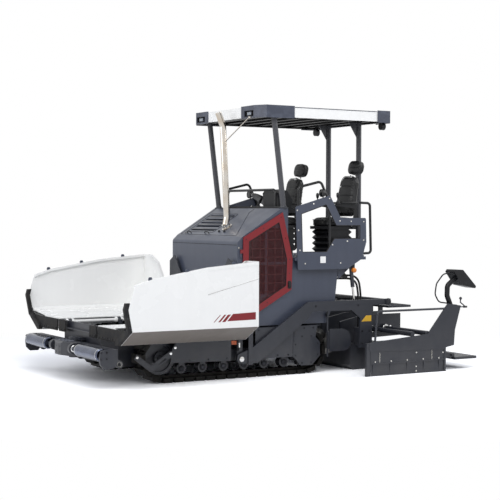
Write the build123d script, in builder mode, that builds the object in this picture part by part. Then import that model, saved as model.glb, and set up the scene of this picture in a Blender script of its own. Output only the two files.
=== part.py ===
"""Compact tracked asphalt paver with a folding hopper, a canopy and a telescopic screed.

Millimetres. +X is forward (hopper end), +Y is the machine's left, +Z is up and z = 0 is the ground.
The origin is on the ground, at the centre of the machine's outline.
"""
import os
from math import atan2, cos, degrees, hypot, pi, radians, sin

from build123d import *

os.makedirs("parts", exist_ok=True)

# overall sizes
half_width = 1600
canopy_top = 3435
seat_gap = 0.3
running_gap = 6

# crawler track
track_y = 790
shoe_width = 280
chain_radius = 235
arc_shoe_count = 5
straight_shoe_count = 14
chain_height = 60
chain_waist = 36
chain_width = 110
shoe_thickness = 35
shoe_gap = 12
pad_taper = 12
sprocket_x = -350
shoe_pitch = pi * chain_radius / arc_shoe_count
wheelbase = straight_shoe_count * shoe_pitch
idler_x = sprocket_x + wheelbase
roller_radius = 64
roller_pins = (2, 4, 6, 8, 10, 12)
top_roller_pins = (4, 9)
top_roller_radius = 55
wheel_width = 120
wheel_web = 30
wheel_hub_radius = 75
rim_thickness = 38
tooth_height = 34
wheel_z = chain_radius + chain_height / 2 + shoe_thickness
chain_inner = chain_radius - chain_height / 2
track_outer_y = track_y + shoe_width / 2

# main frame
frame_y = 560
frame_plate = 30
frame_rear = -620
frame_bottom = 180
frame_top = 600
belly_plate = 12
crossmember = 40
carrier_xs = (110, 1300)
carrier_half = 60

# covers over the tracks
cover_y = track_outer_y + 12
cover_plate = 6
cover_top = 622
cover_low = 232
cover_gap_front = 780
cover_gap_rear = 430
cover_strap_x = -130
octagon_half = 205

# hopper
wing_y = half_width - 15
wing_front = 2430
wing_rear = 760
wing_bottom = 703
wing_top_rear = 1486
wing_top_front = 1231
wing_crease_z = 1100
wing_plate = 10
wing_rim = 40
nose_step = 50
wing_nose = wing_front + nose_step
fold_y = 1270
fold_z = 522
fold_flat = 80
box_inner_y = 1100
box_wall = 12
hinge_y = 620
hinge_z = 662
hinge_pin_radius = 20
hinge_knuckle_radius = 34
knuckle_width = 30
saddle_width = 36
hinge_inset = 145
hinge_stations = (wing_rear + hinge_inset, (wing_rear + wing_front) / 2, wing_front - hinge_inset)
seal_thickness = 14
flap_inner_y = hinge_y + 30
apron_inner_y = 380
apron_outer_y = hinge_y - 30
flap_top = 700
flap_bottom = 550
frame_front = wing_front - 50

# conveyor
conveyor_deck = 500
bar_count = 10
bar_pitch = 300
bar_size = 40
bar_first_x = -480
chain_lines = (60, 430)

# push roller beam
beam_back = wing_front + 10
pivot_x = beam_back + 30
beam_front = beam_back + 92
beam_z = 400
beam_half = 1180
hub_radius = 78
hub_half = 84
beam_height = 150
push_roller_x = beam_front + 88
push_roller_radius = 74
push_roller_inner = 480
push_roller_outer = 1150
nose_x = push_roller_x + 80
pivot_pin_radius = 45
push_roller_z = 410
spindle_radius = 20
bracket_thickness = 30
tow_eye_x = beam_back - 20
tow_eye_z = 300
tow_eye_radius = 46
tow_bore_radius = 24

# running gear sets the widths of the arms, cylinders and bodywork above it
arm_y = cover_y + cover_plate + 10
lift_y = arm_y - 58
body_half = lift_y - 20
hood_half = body_half + 10

# bodywork
hood_front = 662
hood_edge_z = 1700
hood_slope_x = 590
hood_slope_z = 1768
hood_crest_x = 15
hood_crest_z = 2130
hood_wall = 8
hood_bend = 45
hood_base_z = 1000
hood_back = -85
grille_slot_count = 5
grille_slot = 34
grille_x = (150, 500)
grille_y = (-700, -40)
body_rear = -690
body_bottom = 640
body_wall = 8
column_rear = -190
door_thickness = 12
door_frame = 85
door_skin = 3
door_front = 600
door_low = hood_half + 6
door_hinge_x = 618
door_hinge_y = door_low + door_thickness / 2
door_hinge_z = (780, 1560)
door_knuckle = 50
door_knuckle_radius = 9
door_pin_radius = 5

# platform
deck_top = 1500
deck_plate = 40
deck_under = deck_top - deck_plate
deck_half = body_half + 60
deck_tail = -1610
deck_front = -165
deck_rear = -1270
rail_radius = 17
guard_y = deck_half + 10
guard_plate = 8
rail_y = guard_y - guard_plate - rail_radius - seat_gap

# seats
seat_y = 680
seat_half = 215
seat_rear_x = -1150
seat_front_x = -680
seat_plate_z = 1900
cushion_top = 2000
back_top = 2560
back_lean = 110
back_depth = 90
headrest_z = (2580, 2770)
headrest_x = (-1340, -1230)
headrest_half = 140
bellows_count = 4
arm_rest_z = 2190
seat_round = 30

# canopy
canopy_half = body_half + 50
canopy_front = 350
canopy_rear = -1690
canopy_edge = 135
canopy_wall = 40
corner_depth = 12
moulding_inner_y = 450
recess_y = (530, 760)
recess_lamp_y = (590, 700)
stay_end_y = 685
front_corner_x = -145
rear_corner_x = -1450
front_post_y = body_half - 30
rear_post_y = 370
rear_post_x = -1546
front_foot_x = -40
front_head_x = 110
post_radius = 36
rib_count = 7
rib_pitch = 270
rib_half = 40

# exhaust stack
exhaust_x = 420
exhaust_y = 200
exhaust_radius = 42
exhaust_top = canopy_top - 65

# tow arms and screed
tow_pin_x = 655
tow_pin_z = 245
tow_pin_radius = 36
guide_x = 532
guide_half = 32
arm_rear_x = -1640
arm_plate = 36
screed_half = body_half
screed_front = -1060
screed_split = -1470
screed_rear = -2080
screed_bottom = 0
screed_height = 330
end_plate_y = half_width
end_plate = 16
flange_depth = 26
ski_top = 150
extension_inner_y = 594
guide_tube_radius = 32
guide_tube_z = 510
guide_bearing_y = (150, 600)
guide_bearing_plate = 30
collar_radius = 44
collar_width = 40
walkway_z = 800
walkway_bar = 30

# augers
auger_x = -860
auger_z = 360
auger_radius = 165
auger_shaft_radius = 40
auger_pitch = 320
auger_length = 740
case_half = 62
auger_guard_y = arm_y - 20
auger_guard_plate = 12
auger_post_x = -682

# screed lift cylinders
lift_top_x = -1050
lift_top_z = 1425
lift_eye_x = -1115
lift_eye_z = 870
lift_pin_radius = 14
barrel_length = 328
rod_length = 320
rod_radius = 14
barrel_radius = 26

# consoles and footboards
console_y = end_plate_y - 100
console_post_radius = 34
console_half = 100
step_hinge_x = screed_rear - 220
step_hinge_z = 190
step_depth = 400
step_plate = 35
step_span = (760, end_plate_y - 100)
step_lug_y = (step_span[0] + 60, step_span[1] - 60)
step_pin_radius = 12


def prism(plane, points, depth, mode=Mode.ADD):
    """Extrude a closed outline of straight lines along the plane's normal."""
    with BuildSketch(plane) as outline:
        with BuildLine():
            Polyline(*points, close=True)
        make_face()
    return extrude(outline.sketch, amount=depth, mode=mode)


def side_sheet(points, y_low, y_high, mode=Mode.ADD):
    """Plate with an X-Z outline between two values of y."""
    return prism(Plane.XZ.offset(-y_high), points, y_high - y_low, mode)


def cross_sheet(points, x_low, x_high, mode=Mode.ADD):
    """Plate with a Y-Z outline between two values of x."""
    return prism(Plane.YZ.offset(x_low), points, x_high - x_low, mode)


def flat_sheet(points, z_low, z_high, mode=Mode.ADD):
    """Plate with an X-Y outline between two heights."""
    return prism(Plane.XY.offset(z_low), points, z_high - z_low, mode)


def block(x_span, y_span, z_span, mode=Mode.ADD):
    """Box between two corners."""
    size = [high - low for low, high in (x_span, y_span, z_span)]
    centre = [(high + low) / 2 for low, high in (x_span, y_span, z_span)]
    with Locations(tuple(centre)):
        return Box(*size, mode=mode)


def round_bar(start, end, radius, mode=Mode.ADD):
    """Straight round bar between two points."""
    start = Vector(start)
    along = Vector(end) - start
    with BuildSketch(Plane(origin=start, z_dir=along)) as section:
        Circle(radius)
    return extrude(section.sketch, amount=along.length, mode=mode)


def bent_tube(points, radius, bend):
    """Round tube along straight runs joined by tangent arcs."""
    with BuildLine() as route:
        FilletPolyline(*points, radius=bend)
    path = route.wire()
    with BuildSketch(Plane(origin=path @ 0, z_dir=path % 0)) as section:
        Circle(radius)
    return sweep(section.sketch, path=path)


def door_knuckles(side, wall_y, knuckle_z):
    """Fixed half of a door hinge: a bored knuckle and the strap that holds it to a side wall."""
    with BuildSketch(Plane.XY.offset(knuckle_z - door_knuckle)) as knuckle:
        with Locations((door_hinge_x, side * door_hinge_y)):
            Circle(door_knuckle_radius)
        with Locations((door_hinge_x + 4, side * (wall_y + door_hinge_y) / 2)):
            Rectangle(10, door_hinge_y - wall_y + 1)
        with Locations((door_hinge_x, side * door_hinge_y)):
            Circle(door_pin_radius + 0.05, mode=Mode.SUBTRACT)
    return extrude(knuckle.sketch, amount=door_knuckle)


# track chain: one loop of links, waisted between their pins, with a tapered pad on every shoe
def chain_pin(index):
    """Place and heading of one chain pin, counted forward from the foot of the sprocket."""
    run, turn = straight_shoe_count, arc_shoe_count
    index = index % (2 * (run + turn))
    if index <= run:
        return sprocket_x + index * shoe_pitch, wheel_z - chain_radius, 0
    if index <= run + turn:
        angle = pi * (index - run) / turn
        return idler_x + chain_radius * sin(angle), wheel_z - chain_radius * cos(angle), degrees(angle)
    if index <= 2 * run + turn:
        return idler_x - (index - run - turn) * shoe_pitch, wheel_z + chain_radius, 180
    angle = pi * (index - 2 * run - turn) / turn
    return sprocket_x - chain_radius * sin(angle), wheel_z + chain_radius * cos(angle), 180 + degrees(angle)


link_count = 2 * (straight_shoe_count + arc_shoe_count)
link_places = []
pin_places = []
for link in range(link_count):
    near_x, near_z, near_heading = chain_pin(link)
    far_x, far_z = chain_pin(link + 1)[:2]
    link_places.append(Location(((near_x + far_x) / 2, (near_z + far_z) / 2),
                                degrees(atan2(far_z - near_z, far_x - near_x))))
    pin_places.append(Location((near_x, near_z), near_heading))

shoe_depth = shoe_thickness + chain_height / 3
shoe_drop = chain_height / 2 + shoe_thickness - shoe_depth / 2
pad_angle = degrees(atan2(shoe_depth, pad_taper))

with BuildPart() as track_left:
    with BuildSketch(Plane.XZ.offset(-track_outer_y)):
        with Locations(*link_places):
            with Locations((0, -shoe_drop)):
                Trapezoid(shoe_pitch - shoe_gap, shoe_depth, pad_angle, rotation=180)
    extrude(amount=shoe_width)
    with BuildSketch(Plane.XZ.offset(-track_y - chain_width / 2)) as links:
        with Locations(*link_places):
            Rectangle(shoe_pitch, chain_waist)
        with Locations(*pin_places):
            RegularPolygon(chain_height / 2, 6, major_radius=False)
    extrude(links.sketch, amount=chain_width)

with BuildPart() as track_right:
    mirror(track_left.part, about=Plane.XZ)

# track frames with rollers, idler, sprocket and side covers, both sides in one node
roller_floor = wheel_z - chain_inner + seat_gap
roller_z = roller_floor + roller_radius
top_roller_z = wheel_z + chain_inner - seat_gap - top_roller_radius
rim_radius = chain_inner - seat_gap
beam_low = roller_z + roller_radius + 20
beam_high = beam_low + 110
beam_nose = idler_x - 140
beam_tail = sprocket_x + 230
with BuildPart() as track_frames:
    side_sheet([(beam_tail, beam_low), (beam_nose - 100, beam_low), (beam_nose, wheel_z - 30),
                (idler_x + 40, wheel_z - 30), (idler_x + 40, wheel_z + 30), (beam_nose, wheel_z + 30),
                (beam_nose - 100, beam_high), (beam_tail, beam_high)], track_y - 50, track_y + 50)
    for pin in roller_pins:
        roller_x = sprocket_x + pin * shoe_pitch
        with Locations(Location((roller_x, track_y, roller_z), (90, 0, 0))):
            Cylinder(roller_radius, wheel_width - 20)
        for strap_y in (track_y - wheel_width / 2, track_y + wheel_width / 2 - 12):
            side_sheet([(roller_x - 46, beam_low + 20), (roller_x - 24, roller_z - 26),
                        (roller_x + 24, roller_z - 26),
                        (roller_x + 46, beam_low + 20)], strap_y, strap_y + 12)
    for pin in top_roller_pins:
        top_x = sprocket_x + pin * shoe_pitch
        with Locations(Location((top_x, track_y, top_roller_z), (90, 0, 0))):
            Cylinder(top_roller_radius, wheel_width - 20)
        block((top_x - 25, top_x + 25), (track_y - 50, track_y + 50), (beam_high - 10, top_roller_z))
    # idler: a rim on a thin web with a hub on the frame's fork
    with BuildSketch(Plane.XZ.offset(-track_y - wheel_width / 3)) as rim:
        with Locations((idler_x, wheel_z)):
            Circle(rim_radius)
            Circle(rim_radius - rim_thickness, mode=Mode.SUBTRACT)
    extrude(rim.sketch, amount=2 * wheel_width / 3)
    with Locations(Location((idler_x, track_y, wheel_z), (90, 0, 0))):
        Cylinder(rim_radius - 1, wheel_web)
        Cylinder(wheel_hub_radius, wheel_width)
    # sprocket: a tooth between each pair of pins, on the drive's round housing
    with BuildSketch(Plane.XZ.offset(-track_y - wheel_web)) as sprocket:
        with Locations((sprocket_x, wheel_z)):
            Circle(rim_radius - tooth_height)
            with PolarLocations(rim_radius - tooth_height / 2 - 4, 2 * arc_shoe_count):
                Trapezoid(70, tooth_height + 8, 66, rotation=-90)
    extrude(sprocket.sketch, amount=2 * wheel_web)
    with Locations(Location((sprocket_x, track_y + 15, wheel_z), (90, 0, 0))):
        Cylinder(120, shoe_width - 50)
    # sheet cover over the upper run: front stretch, rear stretch and the sprocket's octagon
    cover_out = cover_y + cover_plate
    saddle_clear = hinge_stations[0] - saddle_width / 2 - knuckle_width - 2 * running_gap
    side_sheet([(1624, 247), (1600, 420), (1450, cover_top), (cover_gap_front, cover_top),
                (cover_gap_front, 226)],
               cover_y, cover_out)
    side_sheet([(cover_gap_rear, cover_low), (cover_gap_rear, cover_top), (cover_strap_x + 18, cover_top),
                (cover_strap_x + 18, cover_low)], cover_y, cover_out)
    side_sheet([(cover_strap_x + 30, cover_low), (cover_strap_x + 30, cover_top),
                (cover_strap_x - 30, cover_top),
                (cover_strap_x - 30, cover_low)], cover_y - cover_plate, cover_y)
    block((sprocket_x - octagon_half, saddle_clear), (frame_y, cover_out),
          (cover_top - cover_plate, cover_top))
    block((saddle_clear, 1450), (hinge_y - 30, cover_out), (cover_top - cover_plate, cover_top))
    with BuildSketch(Plane.XZ.offset(-cover_out)) as octagon:
        with Locations((sprocket_x + 10, wheel_z + 15)):
            RegularPolygon(octagon_half, 8, major_radius=False, rotation=22.5)
    extrude(octagon.sketch, amount=cover_plate)
    side_sheet([(cover_strap_x - 18, 420), (cover_strap_x - 18, cover_top), (-500, cover_top), (-470, 420)],
               cover_y, cover_out)
    # bent guide bar in front of the shoes, slotted in its rear leg
    with BuildSketch(Plane.XZ.offset(-cover_y - cover_plate - 4)) as guide_bar:
        with BuildLine():
            Polyline((1600, 392), (1592, 330), (1868, 158), (1908, 158), (2112, 318), (2074, 372),
                     (1888, 228), (1636, 388), close=True)
        make_face()
        with Locations(Location(((1628 + 1850) / 2, (336 + 203) / 2),
                                degrees(atan2(336 - 203, 1628 - 1850)))):
            SlotOverall(130, 24, mode=Mode.SUBTRACT)
    extrude(guide_bar.sketch, amount=cover_plate + 6)
    mirror(about=Plane.XZ)

# main frame: side plates, belly, conveyor deck, cross members and the push roller pivot
tail_x = 712
with BuildPart() as chassis_frame:
    side_sheet([(frame_rear, frame_top), (frame_rear, frame_bottom + 60), (frame_rear + 80, frame_bottom),
                (frame_front - 200, frame_bottom), (frame_front, frame_bottom + 120),
                (frame_front, frame_top)],
               frame_y - frame_plate, frame_y)
    block((frame_rear, 640), (frame_y - frame_plate, frame_y), (frame_top - 1, body_bottom - seat_gap))
    block((frame_rear, frame_front - 60), (0, frame_y), (frame_bottom + 60, frame_bottom + 60 + belly_plate))
    block((frame_rear, frame_front - 10), (0, frame_y), (conveyor_deck - belly_plate, conveyor_deck))
    block((frame_front - crossmember, frame_front), (0, frame_y), (frame_bottom + 120, frame_top - 60))
    for carrier_x in carrier_xs:
        block((carrier_x - carrier_half, carrier_x + carrier_half), (frame_y - 1, track_y - 50 - seat_gap),
              (beam_low + 20, beam_high - 15))
    # hinge saddles for the wings
    for bracket_x in hinge_stations:
        saddle_rear = bracket_x - saddle_width / 2
        block((saddle_rear, saddle_rear + saddle_width), (frame_y - frame_plate, hinge_y - 36),
              (frame_top - 40, hinge_z + 8))
        with BuildSketch(Plane.YZ.offset(saddle_rear)) as eye:
            with Locations((hinge_y, hinge_z)):
                Circle(hinge_knuckle_radius)
            with Locations((hinge_y - 30, hinge_z - 8)):
                Rectangle(50, 32)
            with Locations((hinge_y, hinge_z)):
                Circle(hinge_pin_radius + 0.05, mode=Mode.SUBTRACT)
        extrude(eye.sketch, amount=saddle_width)
    # hopper tail: deflector plates beside the conveyor tunnel
    cross_sheet([(frame_y - frame_plate, frame_top), (frame_y - frame_plate, 1230), (735, 1500),
                 (body_half, 1420), (body_half, cover_top + 8), (frame_y, cover_top + 8),
                 (frame_y, frame_top)], tail_x - 8, tail_x)
    cross_sheet([(0, frame_top + 120), (0, 1230), (frame_y - frame_plate, 1230),
                 (frame_y - frame_plate, frame_top + 120)], tail_x - 8, tail_x)
    # front lip of the conveyor trough, which carries the rubber apron
    block((frame_front - 12, frame_front), (0, frame_y - frame_plate), (frame_top - 70, flap_top - 10))
    block((frame_front - 12, wing_front), (0, frame_y), (frame_top, frame_top + 8))
    mirror(about=Plane.XZ)
    # pivot casting for the push beam
    for plate_z in (beam_z - hub_half - 35 - running_gap, beam_z + hub_half + running_gap):
        with BuildSketch(Plane.XY.offset(plate_z)) as lug:
            with Locations((pivot_x, 0)):
                Circle(hub_radius)
            with Locations(((pivot_x + frame_front) / 2, 0)):
                Rectangle(pivot_x - frame_front, 2 * hub_radius + 120)
        extrude(lug.sketch, amount=35)
    with Locations((pivot_x, 0, beam_z)):
        Cylinder(pivot_pin_radius, 2 * (hub_half + running_gap + 30))

# scraper-bar conveyors on the deck, through the tunnel to the augers
with BuildPart() as conveyor:
    for side in (-1, 1):
        for chain_y in chain_lines:
            block((frame_rear + 20, frame_front - 80), (side * chain_y - 18, side * chain_y + 18),
                  (conveyor_deck + seat_gap, conveyor_deck + 30))
        for bar in range(bar_count):
            bar_x = bar_first_x + bar * bar_pitch
            block((bar_x - 15, bar_x + 15), (side * 245 - 205, side * 245 + 205),
                  (conveyor_deck + 8, conveyor_deck + 8 + bar_size))

# hopper wing: floor, box under its outer edge, creased side wall, rear wall, rim and hinge knuckles
wall_outline = [(wing_rear, wing_bottom), (wing_rear, wing_top_rear), (1450, 1424), (2180, 1300),
                (wing_front - 30, wing_top_front), (wing_nose, 960), (wing_front, wing_bottom)]
crease_outline = [(wing_rear + 12, wing_crease_z + 180), (wing_rear + 12, wing_top_rear - 45), (1450, 1385),
                  (1450, wing_crease_z)]
floor_z = hinge_z + hinge_knuckle_radius + 4
with BuildPart() as wing_left:
    side_sheet(wall_outline, wing_y - wing_plate, wing_y)
    # the panel above the crease is pressed in by a little under half the sheet
    side_sheet(crease_outline, wing_y - 4, wing_y, mode=Mode.SUBTRACT)
    # section of the floor and of the hollow box that stiffens its outer edge
    with BuildSketch(Plane.YZ.offset(wing_rear)) as section:
        with BuildLine():
            Polyline((hinge_y, floor_z), (hinge_y, floor_z + wing_plate), (wing_y - 60, wing_bottom + 60),
                     (wing_y, wing_bottom + 100), (wing_y, wing_bottom), (fold_y, fold_z),
                     (fold_y - fold_flat, fold_z), (box_inner_y, floor_z), close=True)
        make_face()
        with BuildLine():
            Polyline((box_inner_y + 14, floor_z + 14), (wing_y - 62, wing_bottom + 48),
                     (wing_y - 20, wing_bottom + 5), (fold_y - 4, fold_z + box_wall),
                     (fold_y - fold_flat + 6, fold_z + box_wall), close=True)
        make_face(mode=Mode.SUBTRACT)
    extrude(section.sketch, amount=wing_front - wing_rear)
    # rear wall, cut back towards the hinge, with a stiffening fold along its slope
    rear_slope = [(wing_y - 265, wing_top_rear), (1100, 1390), (950, 1200), (720, 800)]
    cross_sheet([(hinge_y + 10, floor_z), (box_inner_y, floor_z), (fold_y - fold_flat, fold_z),
                 (fold_y, fold_z), (wing_y, wing_bottom), (wing_y, wing_top_rear), *rear_slope],
                wing_rear, wing_rear + wing_plate)
    for (y_a, z_a), (y_b, z_b) in zip(rear_slope[:-1], rear_slope[1:]):
        cross_sheet([(y_a, z_a), (y_b, z_b), (y_b + 16, z_b), (y_a + 16, z_a)],
                    wing_rear, wing_rear + wing_rim)
    # pressed rim along the top edge
    for (x_a, z_a), (x_b, z_b) in zip(wall_outline[1:4], wall_outline[2:5]):
        side_sheet([(x_a, z_a), (x_b, z_b), (x_b, z_b - 30), (x_a, z_a - 30)], wing_y - wing_rim, wing_y)
    # knuckles either side of each saddle, on one pin
    for bracket_x in hinge_stations:
        reach = saddle_width / 2 + running_gap
        for knuckle_x in (bracket_x - reach - knuckle_width, bracket_x + reach):
            with BuildSketch(Plane.YZ.offset(knuckle_x)) as knuckle:
                with Locations((hinge_y, hinge_z)):
                    Circle(hinge_knuckle_radius)
                with Locations((hinge_y + 17, (hinge_z + floor_z) / 2 + 2)):
                    Rectangle(34, floor_z - hinge_z + 4)
            extrude(knuckle.sketch, amount=knuckle_width)
    round_bar((hinge_stations[0] - 60, hinge_y, hinge_z), (hinge_stations[-1] + 60, hinge_y, hinge_z),
              hinge_pin_radius)

with BuildPart() as wing_right:
    mirror(wing_left.part, about=Plane.XZ)

# rubber edge strip and front flap of a wing, with the strips that clamp the flap
strip_low = 560
with BuildPart() as wing_seal_left:
    side_sheet([(wing_front + seat_gap, wing_bottom), (wing_nose + seat_gap, 960), (wing_nose - 21, 1035),
                (wing_nose + 30, 1035), (wing_nose + nose_step, 960),
                (wing_front + nose_step, wing_bottom - 10)],
               wing_y - 55, wing_y - 5)
    cross_sheet([(fold_y - 60, fold_z), (fold_y, fold_z), (wing_y - 15, wing_bottom - 8),
                 (wing_y - 55, wing_bottom + 30), (fold_y - 60, fold_z + 60)],
                wing_front + seat_gap, wing_front + nose_step)
    cross_sheet([(flap_inner_y, flap_bottom), (fold_y, flap_bottom), (wing_y - 55, flap_top),
                 (flap_inner_y, flap_top)], wing_front + seat_gap, wing_front + seal_thickness)
    block((wing_front + 5, wing_front + seal_thickness + 8), (flap_inner_y + 20, fold_y - 80),
          (strip_low, strip_low + 36))

with BuildPart() as wing_seal_right:
    mirror(wing_seal_left.part, about=Plane.XZ)

# rubber apron between the wings, clamped the same way
with BuildPart() as apron_flaps:
    block((wing_front + seat_gap, wing_front + seal_thickness), (apron_inner_y, apron_outer_y),
          (flap_bottom, flap_top))
    block((wing_front + 5, wing_front + seal_thickness + 8), (apron_inner_y + 10, apron_outer_y - 10),
          (strip_low, strip_low + 36))
    mirror(about=Plane.XZ)

# push roller beam: box beam, domed centre casting, end brackets with tow eyes, and roller spindles
casting_low = beam_z - hub_half
with BuildPart() as push_beam:
    block((beam_back, beam_front), (-beam_half, beam_half),
          (beam_z - beam_height / 2, beam_z + beam_height / 2))
    with Locations((pivot_x, 0, beam_z)):
        Cylinder(hub_radius, 2 * hub_half)
    with BuildSketch(Plane.XY.offset(casting_low)) as casting:
        with BuildLine():
            Polyline((beam_front - 10, -340), (push_roller_x - 20, -340), (push_roller_x + 40, -200),
                     (nose_x - 6, -90), (nose_x, 0), (nose_x - 6, 90), (push_roller_x + 40, 200),
                     (push_roller_x - 20, 340), (beam_front - 10, 340), close=True)
        make_face()
    extrude(casting.sketch, amount=2 * hub_half)
    # upper edge of the casting falls away forward, as a cast dome does
    chamfer(push_beam.faces().sort_by(Axis.X)[-1].edges().sort_by(Axis.Z)[-1], 30)
    for eye_y in (-300, 300):
        with Locations(Location((push_roller_x, eye_y, push_roller_z), (90, 0, 0))):
            Cylinder(push_roller_radius - 8, 60)
    with Locations((pivot_x, 0, beam_z)):
        Cylinder(pivot_pin_radius + 0.05, 400, mode=Mode.SUBTRACT)
    for side in (-1, 1):
        inner, outer = sorted((side * beam_half, side * (beam_half + bracket_thickness)))
        side_sheet([(beam_back, tow_eye_z + 20), (beam_back + 60, 250), (push_roller_x - 10, 250),
                    (push_roller_x + 40, 300), (push_roller_x + 52, push_roller_z - 20),
                    (push_roller_x + 30, push_roller_z + 55), (push_roller_x - 60, push_roller_z + 68),
                    (beam_back, beam_z + beam_height / 2)], inner, outer)
        with BuildSketch(Plane.XZ.offset(-outer)) as tow_eye:
            with Locations((tow_eye_x, tow_eye_z)):
                Circle(tow_eye_radius)
            with Locations((tow_eye_x + 30, tow_eye_z + 20)):
                Rectangle(50, 60)
            with Locations((tow_eye_x, tow_eye_z)):
                Circle(tow_bore_radius, mode=Mode.SUBTRACT)
        extrude(tow_eye.sketch, amount=bracket_thickness)
        round_bar((push_roller_x, side * 258, push_roller_z),
                  (push_roller_x, side * beam_half, push_roller_z), spindle_radius)

with BuildPart() as push_roller_left:
    with Locations(Location((push_roller_x, (push_roller_inner + push_roller_outer) / 2, push_roller_z),
                            (90, 0, 0))):
        Cylinder(push_roller_radius, push_roller_outer - push_roller_inner)
        Cylinder(spindle_radius + 0.05, push_roller_outer - push_roller_inner, mode=Mode.SUBTRACT)
    rims = push_roller_left.edges().filter_by(GeomType.CIRCLE).group_by(SortBy.RADIUS)[-1]
    chamfer(rims, 12)

with BuildPart() as push_roller_right:
    mirror(push_roller_left.part, about=Plane.XZ)

# hood: folded sheet shell with a rounded front edge, a slotted lid, side windows and an open floor
hood_outline = [(hood_front, hood_base_z), (hood_front, hood_edge_z), (hood_slope_x, hood_slope_z),
                (hood_crest_x, hood_crest_z), (hood_back, hood_crest_z), (hood_back, hood_base_z)]
slope_angle = degrees(atan2(hood_crest_z - hood_slope_z, hood_slope_x - hood_crest_x))
slope_up = Vector(sin(radians(slope_angle)), 0, cos(radians(slope_angle)))


def slope_z(x):
    """Height of the hood's sloping top at x."""
    return hood_slope_z + (hood_slope_x - x) * (hood_crest_z - hood_slope_z) / (hood_slope_x - hood_crest_x)


grille_mid_x = (grille_x[0] + grille_x[1]) / 2
grille_plane = Plane(origin=(grille_mid_x, sum(grille_y) / 2, slope_z(grille_mid_x)), x_dir=(0, 1, 0),
                     z_dir=slope_up)
grille_pitch = (grille_x[1] - grille_x[0]) / (grille_slot_count - 1)
window_x = (-40, 520)
window_z = (1040, 1880)
window_bar = 15
with BuildPart() as hood:
    side_sheet(hood_outline, -hood_half, hood_half)
    bend_edges = hood.edges().filter_by(Axis.Y).group_by(Axis.Z)[-3:-1]
    fillet([edge for level in bend_edges for edge in level], hood_bend)
    side_sheet([(hood_front - hood_wall, hood_base_z), (hood_front - hood_wall, hood_edge_z - hood_wall),
                (hood_slope_x - 10, hood_slope_z - 13), (hood_crest_x, hood_crest_z - 14),
                (hood_back + hood_wall, hood_crest_z - 14), (hood_back + hood_wall, hood_base_z)],
               -hood_half + hood_wall, hood_half - hood_wall, mode=Mode.SUBTRACT)
    with BuildSketch(grille_plane) as slots:
        with GridLocations(0, grille_pitch, 1, grille_slot_count):
            SlotOverall(grille_y[1] - grille_y[0], grille_slot)
    extrude(slots.sketch, amount=40, both=True, mode=Mode.SUBTRACT)
    # four windows in each side behind the door's mesh, between a post and a rail
    window_mid = (sum(window_x) / 2, 1430)
    for x_low, x_high in ((window_x[0], window_mid[0] - window_bar),
                          (window_mid[0] + window_bar, window_x[1])):
        top_near, top_far = min(slope_z(x_low) - 70, window_z[1]), min(slope_z(x_high) - 70, window_z[1])
        side_sheet([(x_low, window_mid[1] + window_bar), (x_low, top_near), (x_high, top_far),
                    (x_high, window_mid[1] + window_bar)], -hood_half, hood_half, mode=Mode.SUBTRACT)
        side_sheet([(x_low, window_z[0]), (x_low, window_mid[1] - window_bar),
                    (x_high, window_mid[1] - window_bar),
                    (x_high, window_z[0])], -hood_half, hood_half, mode=Mode.SUBTRACT)
    for side in (-1, 1):
        door_knuckles(side, hood_half, door_hinge_z[1])

# body below and behind the hood: side panels, floor and rear wall with the lift cylinders' brackets
with BuildPart() as body_shell:
    for side in (-1, 1):
        inner, outer = sorted((side * (body_half - body_wall), side * body_half))
        side_sheet([(650, body_bottom), (650, hood_base_z - seat_gap),
                    (hood_back - 2, hood_base_z - seat_gap),
                    (hood_back - 2, deck_under), (body_rear + column_rear, deck_under),
                    (body_rear + column_rear + 60, 940), (body_rear, body_bottom)], inner, outer)
        inner, outer = sorted((side * (lift_y - 40), side * (lift_y - 32)))
        side_sheet([(body_rear - 185, 1200), (body_rear - 185, deck_under), (lift_top_x - 50, deck_under),
                    (lift_top_x - 50, lift_top_z - 40)], inner, outer)
        round_bar((lift_top_x, side * (lift_y - 36), lift_top_z),
                  (lift_top_x, side * (lift_y + 28), lift_top_z), lift_pin_radius)
        door_knuckles(side, body_half, door_hinge_z[0])
    block((body_rear, 650), (-body_half, body_half), (body_bottom, body_bottom + body_wall))
    block((body_rear - body_wall, body_rear), (-body_half, body_half), (body_bottom, deck_under))
    block((642, 650), (-body_half, body_half), (body_bottom, hood_base_z - seat_gap))

with BuildPart() as engine_block:
    block((-40, 560), (-330, 330), (body_bottom + body_wall + seat_gap, 1450))

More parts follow.
